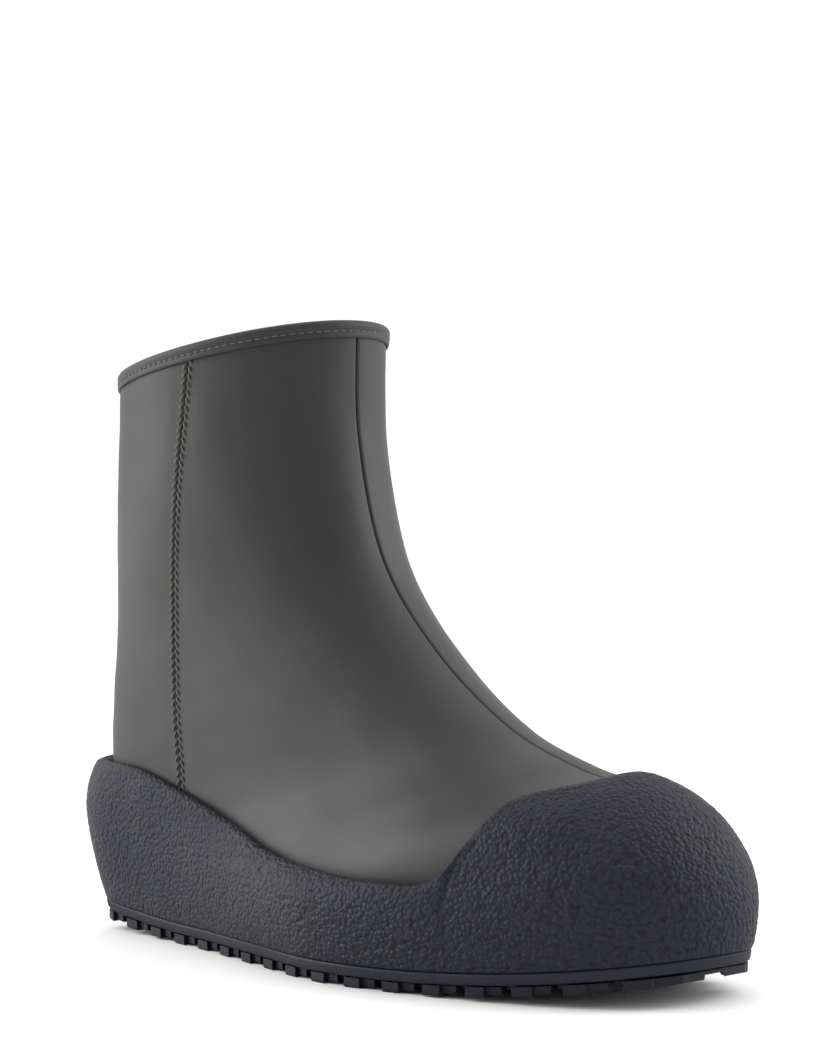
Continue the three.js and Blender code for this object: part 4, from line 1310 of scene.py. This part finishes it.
def tread_lugs():
    """Edge lugs in pairs, slanted middle lugs, and the sheets that carry them."""
    lateral, medial, q0, q1 = outline_sides(outline_inset(lambda q: shell_tuck(q) + 1.3))
    count = int((q1 - q0 + LUG_GROOVE) // LUG_PITCH)
    begin = (q0 + q1 - count * LUG_PITCH + LUG_GROOVE) / 2
    parts = []
    for i in range(-1, count + 1):
        a = max(begin + i * LUG_PITCH, q0 + 1.2)
        b = min(begin + (i + 1) * LUG_PITCH - LUG_GROOVE, q1 - 1.2)
        if b - a < 3:
            continue
        split = a + (b - a) * 0.56
        for edge, sign in ((lateral, 1), (medial, -1)):
            ends = np.array([a, b])
            reach = np.minimum(18.0, 0.36 * np.abs(medial(ends) - lateral(ends)).min())
            inner_edge = moved(edge, sign * reach)
            step_edge = moved(edge, sign * 1.5)
            parts.append(lug(lug_loop(a, split, edge, inner_edge), 0.0, OUTSOLE_TOP))
            parts.append(lug(lug_loop(split + 0.05, b, step_edge, inner_edge), 0.7, OUTSOLE_TOP - 0.1))
        middle_a, middle_b = a + LUG_PITCH * 0.4, b + LUG_PITCH * 0.4
        if middle_b < q1 - 22 and middle_a > q0 + 22:
            centre = 0.5 * (lateral(0.5 * (a + b)) + medial(0.5 * (a + b)))
            half = 0.5 * (medial(middle_a) - lateral(middle_a)) - 23
            if half > 4:
                near = slanted(centre - half, 0.18, middle_a)
                far = slanted(centre + half, -0.18, middle_a)
                parts.append(lug(lug_loop(middle_a, middle_b, near, far), 0.0, OUTSOLE_TOP - 0.2))
    parts.append(plan_sheet(lambda q: shell_tuck(q) + 5.5, 2.3, OUTSOLE_TOP))
    parts.append(plan_sheet(lambda q: shell_tuck(q) + 7.0, OUTSOLE_TOP + 0.02, RAND_TOP))
    return joined(parts)


instead_of("outsole", piece(
    "lugged_tread", *tread_lugs(), TREAD_RUBBER, slot="outsole_rubber", smooth=False
))


# ---- Lining ---------------------------------------------------------------------------------------
LINING_PLACES = np.linspace(COLLAR_ROW + 0.03, 9.2, 240)
lining_skin = Skin(LINING_PLACES, 1200)
lining_every = np.arange(len(LINING_PLACES))


def under_footbed(grid, clearance):
    """Places of the lining's face that lie lower than a clearance over the seat."""
    points = grid.points + grid.inward * LINING_FACE
    return points[..., 2] < seat_height(points[..., 0]) + clearance


FLOOR = under_footbed(lining_skin, 4.6)
tape_edge = TAPE_EDGE + GAP
LINING_SHIFT = 9.0  # the lining's seams lie behind the leather's


def slot_half(z):
    """Half the width that the lining leaves for the tapes, at each height."""
    return np.where(z > ZIP_LOW - GAP, tape_edge, 0.0)


def lining_line(z):
    """The lining's medial seam, behind the zip and below it."""
    return medial_line(z) - np.where(slot_half(z) > 0, 0, LINING_SHIFT)


lining_lateral = np.minimum(
    lining_skin.crossing(lambda z: seam_q(z) - LINING_SHIFT, False), lining_skin.first(FLOOR, False)
)
lining_front = np.maximum(
    lining_skin.crossing(lambda z: lining_line(z) + slot_half(z), True), lining_skin.first(FLOOR, True)
)
lining_rear = lining_skin.crossing(lambda z: lining_line(z) - slot_half(z), True)


COUNTER_TOP = 51  # above the seat's base
COUNTER_LENGTH = 63
PUFF_START = 246
STIFFENER_ROOM = 1.4


def pile_wall(grid, start, end, seed):
    """A closed wall of pile between two arcs of each ring, thinner where a stiffener lies behind it."""
    count = int((end - start).max() / 1.4)
    share = np.linspace(0, 1, count)
    arcs = lerp(start[:, None] + GAP / 2, end[:, None] - GAP / 2, share)
    back = grid.at(arcs, np.full(arcs.shape, LINING_FACE))
    q, z = back[..., 0], back[..., 2]
    low, back_half = SEAT_BASE + COUNTER_TOP, COUNTER_LENGTH
    counter = (1 - smoothstep(z, low, low + 3)) * (1 - smoothstep(q, back_half, back_half + 3))
    puff = smoothstep(q, PUFF_START - 3, PUFF_START)
    behind = LINING_FACE + STIFFENER_ROOM * np.maximum(counter, puff)
    tufts = 0.45 * (1 - cell_distance(back, 3.2, seed)) + 0.25 * soft_waves(back, 9, seed + 1)
    edge = smoothstep(np.minimum(share, 1 - share) * count, 0, 3)
    front = LINING_INSIDE + clamp(tufts, -0.2, 0.45) * edge[None, :]
    return slab(grid.at(arcs, behind), grid.at(arcs, front))


heel_keep = lining_every[LINING_PLACES < 4.93]
vamp_wall = pile_wall(
    Rows(lining_skin, lining_every), lining_front - lining_skin.girth, lining_lateral, 31
)
heel_wall = pile_wall(
    Rows(lining_skin, heel_keep), lining_lateral[heel_keep], lining_rear[heel_keep], 37
)
for name, wall_mesh, old in (
    ("vamp_pile", vamp_wall, "vamp_lining"),
    ("heel_pile", heel_wall, "heel_lining"),
):
    soft = instead_of(old, piece(name, *wall_mesh, PILE, slot="pile_lining"))


# ---- Zip ------------------------------------------------------------------------------------------
def strip_between(q_rear, q_front, z_low, places, outer_depth, inner_depth, columns=14, ripple=0.0):
    """A closed strip of the wall behind the zip, between two q."""
    grid = Skin(places, 1200)
    rear = grid.crossing(lambda z: np.full(z.shape, q_rear), True)
    front = grid.crossing(lambda z: np.full(z.shape, q_front), True)
    middle = grid.at(((rear + front) / 2)[:, None], np.zeros((len(places), 1)))[:, 0]
    keep = np.nonzero(middle[:, 2] > z_low)[0]
    share = np.linspace(0, 1, columns)
    arcs = lerp(rear[keep][:, None], front[keep][:, None], share)
    rows = Rows(grid, keep)
    wave = ripple * np.sin(share * np.pi)[None, :] * np.ones((len(keep), 1))
    return slab(rows.at(arcs, outer_depth + wave), rows.at(arcs, inner_depth + wave))


zip_places = np.linspace(COLLAR_ROW + 0.03, 4.6, 170)
for name, low, high, old in (
    ("zip_tape_front_weave", ZIP_Q + ZIP_SLIT, ZIP_Q + TAPE_EDGE, "zip_tape_front"),
    ("zip_tape_rear_weave", ZIP_Q - TAPE_EDGE, ZIP_Q - ZIP_SLIT, "zip_tape_rear"),
):
    weave = strip_between(low, high, ZIP_LOW, zip_places, TAPE_FACE, TAPE_BACK)
    instead_of(old, piece(name, *weave, ZIP_CLOTH, slot="zip_cloth"))
gusset_places = np.linspace(COLLAR_ROW + 0.15, 4.7, 120)
gusset_sides = strip_between(
    ZIP_Q - GUSSET_HALF, ZIP_Q + GUSSET_HALF, ZIP_LOW - 6, gusset_places,
    GUSSET_FACE, GUSSET_FACE + GUSSET_THICKNESS, 26, 0.7,
)
instead_of("zip_gusset", piece("zip_back_gusset", *gusset_sides, GUSSET_LEATHER, slot="upper_leather"))


def tape_face(z):
    """Sideways place of the zip tape's outer face at each height."""
    grid = Skin(np.linspace(COLLAR_ROW + 0.02, 4.6, 60), 1200)
    arcs = grid.crossing(lambda h: np.full(h.shape, ZIP_Q), True)
    points = grid.at(arcs[:, None], np.full((len(arcs), 1), TAPE_FACE - 0.05))[:, 0]
    order = np.argsort(points[:, 2])
    return np.interp(z, points[order, 2], points[order, 1])


TOOTH_PROFILE = np.array([  # q from the slit outward, height, both as shares of one tooth
    [-0.16, 0.22], [-0.16, 0.78], [0.1, 0.98], [0.35, 0.8], [0.55, 0.95], [1.0, 0.95],
    [1.0, 0.05], [0.55, 0.05], [0.35, 0.2], [0.1, 0.02],
])


TOOTH_PITCH = 2.05
TOOTH_HEIGHT = 1.35
TOOTH_WIDTH = 2.9


def tooth_row(side, phase):
    """Moulded teeth of one side, each a small waisted block with a domed face."""
    z0 = TEETH_FOOT + phase
    count = int((TEETH_TOP - z0) / TOOTH_PITCH)
    z = z0 + np.arange(count) * TOOTH_PITCH
    back = tape_face(z)
    parts = []
    for low, base in zip(z, back):
        faces = (base, TOOTH_FACE - 0.35, TOOTH_FACE - 0.08, TOOTH_FACE)
        rings = []
        for face, shrink in zip(faces, (1.0, 1.0, 0.9, 0.72)):
            profile = (TOOTH_PROFILE - [0.45, 0.5]) * shrink + [0.45, 0.5]
            q = ZIP_Q + side * (ZIP_SLIT + profile[:, 0] * TOOTH_WIDTH)
            rings.append(np.stack([q, np.full(len(q), face), low + profile[:, 1] * TOOTH_HEIGHT], -1))
        parts.append(tube(np.stack(rings)))
    return joined(parts)


for name, side, phase, old in (
    ("zip_teeth_front_row", 1, 0.2, "zip_teeth_front"),
    ("zip_teeth_rear_row", -1, 1.22, "zip_teeth_rear"),
):
    instead_of(old, piece(name, *tooth_row(side, phase), ZIP_METAL, slot="zip_metal", smooth=False))


def dressed(name, material, bevel=None):
    """Gives a CAD piece its finish and, where asked, softened edges."""
    target = nodes[name]
    target.data.materials.clear()
    target.data.materials.append(material)
    if bevel:
        soften = target.modifiers.new("softened_edges", "BEVEL")
        soften.width = bevel
        soften.segments = 3
        soften.limit_method = "ANGLE"
        soften.angle_limit = math.radians(30)


for name, material, bevel in (
    ("zip_slider", ZIP_METAL, 0.0003),
    ("zip_puller", ZIP_METAL, 0.00025),
    ("zip_top_stop_front", ZIP_METAL, 0.0003),
    ("zip_top_stop_rear", ZIP_METAL, 0.0003),
    ("zip_bottom_stop", ZIP_METAL, 0.0003),
    ("toe_puff", BOARD, None),
    ("heel_counter", BOARD, None),
    ("midsole", FOAM, None),
    ("bottom_filler", CORK, None),
    ("shank", STEEL, 0.0002),
    ("insole_board", BOARD, None),
    ("footbed", FELT, None),
):
    dressed(name, material, bevel)


# ---- Camera, light and floor ----------------------------------------------------------------------
CAMERA_PLACE = (-0.8105, -0.8073, 0.1789)
CAMERA_TARGET = (0.0116, -0.0032, 0.1605)

scene = bpy.context.scene
camera_data = bpy.data.cameras.new("view")
camera = bpy.data.objects.new("view", camera_data)
scene.collection.objects.link(camera)
camera.location = CAMERA_PLACE
aim = Vector(CAMERA_TARGET) - camera.location
camera.rotation_euler = aim.to_track_quat("-Z", "Y").to_euler()
camera_data.sensor_width = 36
camera_data.lens = 106.25
camera_data.clip_start = 0.05
scene.camera = camera


def softbox(name, place, target, size, power):
    """A white rectangular light that faces a target."""
    data = bpy.data.lights.new(name, "AREA")
    data.shape = "RECTANGLE"
    data.size, data.size_y = size
    data.energy = power
    lamp = bpy.data.objects.new(name, data)
    scene.collection.objects.link(lamp)
    lamp.location = place
    lamp.rotation_euler = (Vector(target) - Vector(place)).to_track_quat("-Z", "Y").to_euler()


softbox("left_softbox", (-0.9, 1.3, 0.6), (0, 0, 0.14), (1.0, 1.4), 26)
softbox("right_softbox", (1.3, -0.9, 0.8), (0, 0, 0.12), (0.9, 1.4), 20)
softbox("top_softbox", (0.1, 0.1, 1.7), (0, 0, 0), (1.6, 1.6), 6)


CAMERA_SIDE = (-0.70, -0.70, 0.1)


def studio_light():
    """White surroundings for the eye, which light the boot less from the side that the camera stands on."""
    surround = bpy.data.worlds.new("studio")
    surround.use_nodes = True
    scene.world = surround
    tree = surround.node_tree
    way = node(tree, "ShaderNodeTexCoord").outputs["Generated"]
    settings = [("operation", "DOT_PRODUCT")]
    toward = node(tree, "ShaderNodeVectorMath", settings, [(0, way), (1, CAMERA_SIDE)])
    strength = ramp(tree, toward.outputs["Value"], -0.3, 0.95, 1.35, 0.7)
    lighting = tree.nodes["Background"]
    lighting.inputs["Color"].default_value = (1, 1, 1, 1)
    tree.links.new(strength, lighting.inputs["Strength"])
    seen_white = node(tree, "ShaderNodeBackground", [], [("Color", (1, 1, 1, 1)), ("Strength", 1.1)])
    seen = node(tree, "ShaderNodeLightPath").outputs["Is Camera Ray"]
    blend = [(0, seen), (1, lighting.outputs[0]), (2, seen_white.outputs[0])]
    mixed = node(tree, "ShaderNodeMixShader", [], blend)
    tree.links.new(mixed.outputs[0], tree.nodes["World Output"].inputs["Surface"])


studio_light()

bpy.ops.mesh.primitive_grid_add(x_subdivisions=4, y_subdivisions=4, size=16, location=(0, 0, 0))
floor = bpy.context.object
floor.name = "studio_floor"
paper = Finish("pale_paper", colour(243, 243, 242), 0.85)
cloud = noise(paper.tree, place_of(paper.tree), 2.0)
paper.tint(ramp(paper.tree, cloud, 0.3, 0.7), colour(246, 246, 245), 0.5)
floor.data.materials.append(paper.done())
floor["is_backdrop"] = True
scene.view_settings.view_transform = "Standard"
scene.view_settings.look = "None"

low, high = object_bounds()
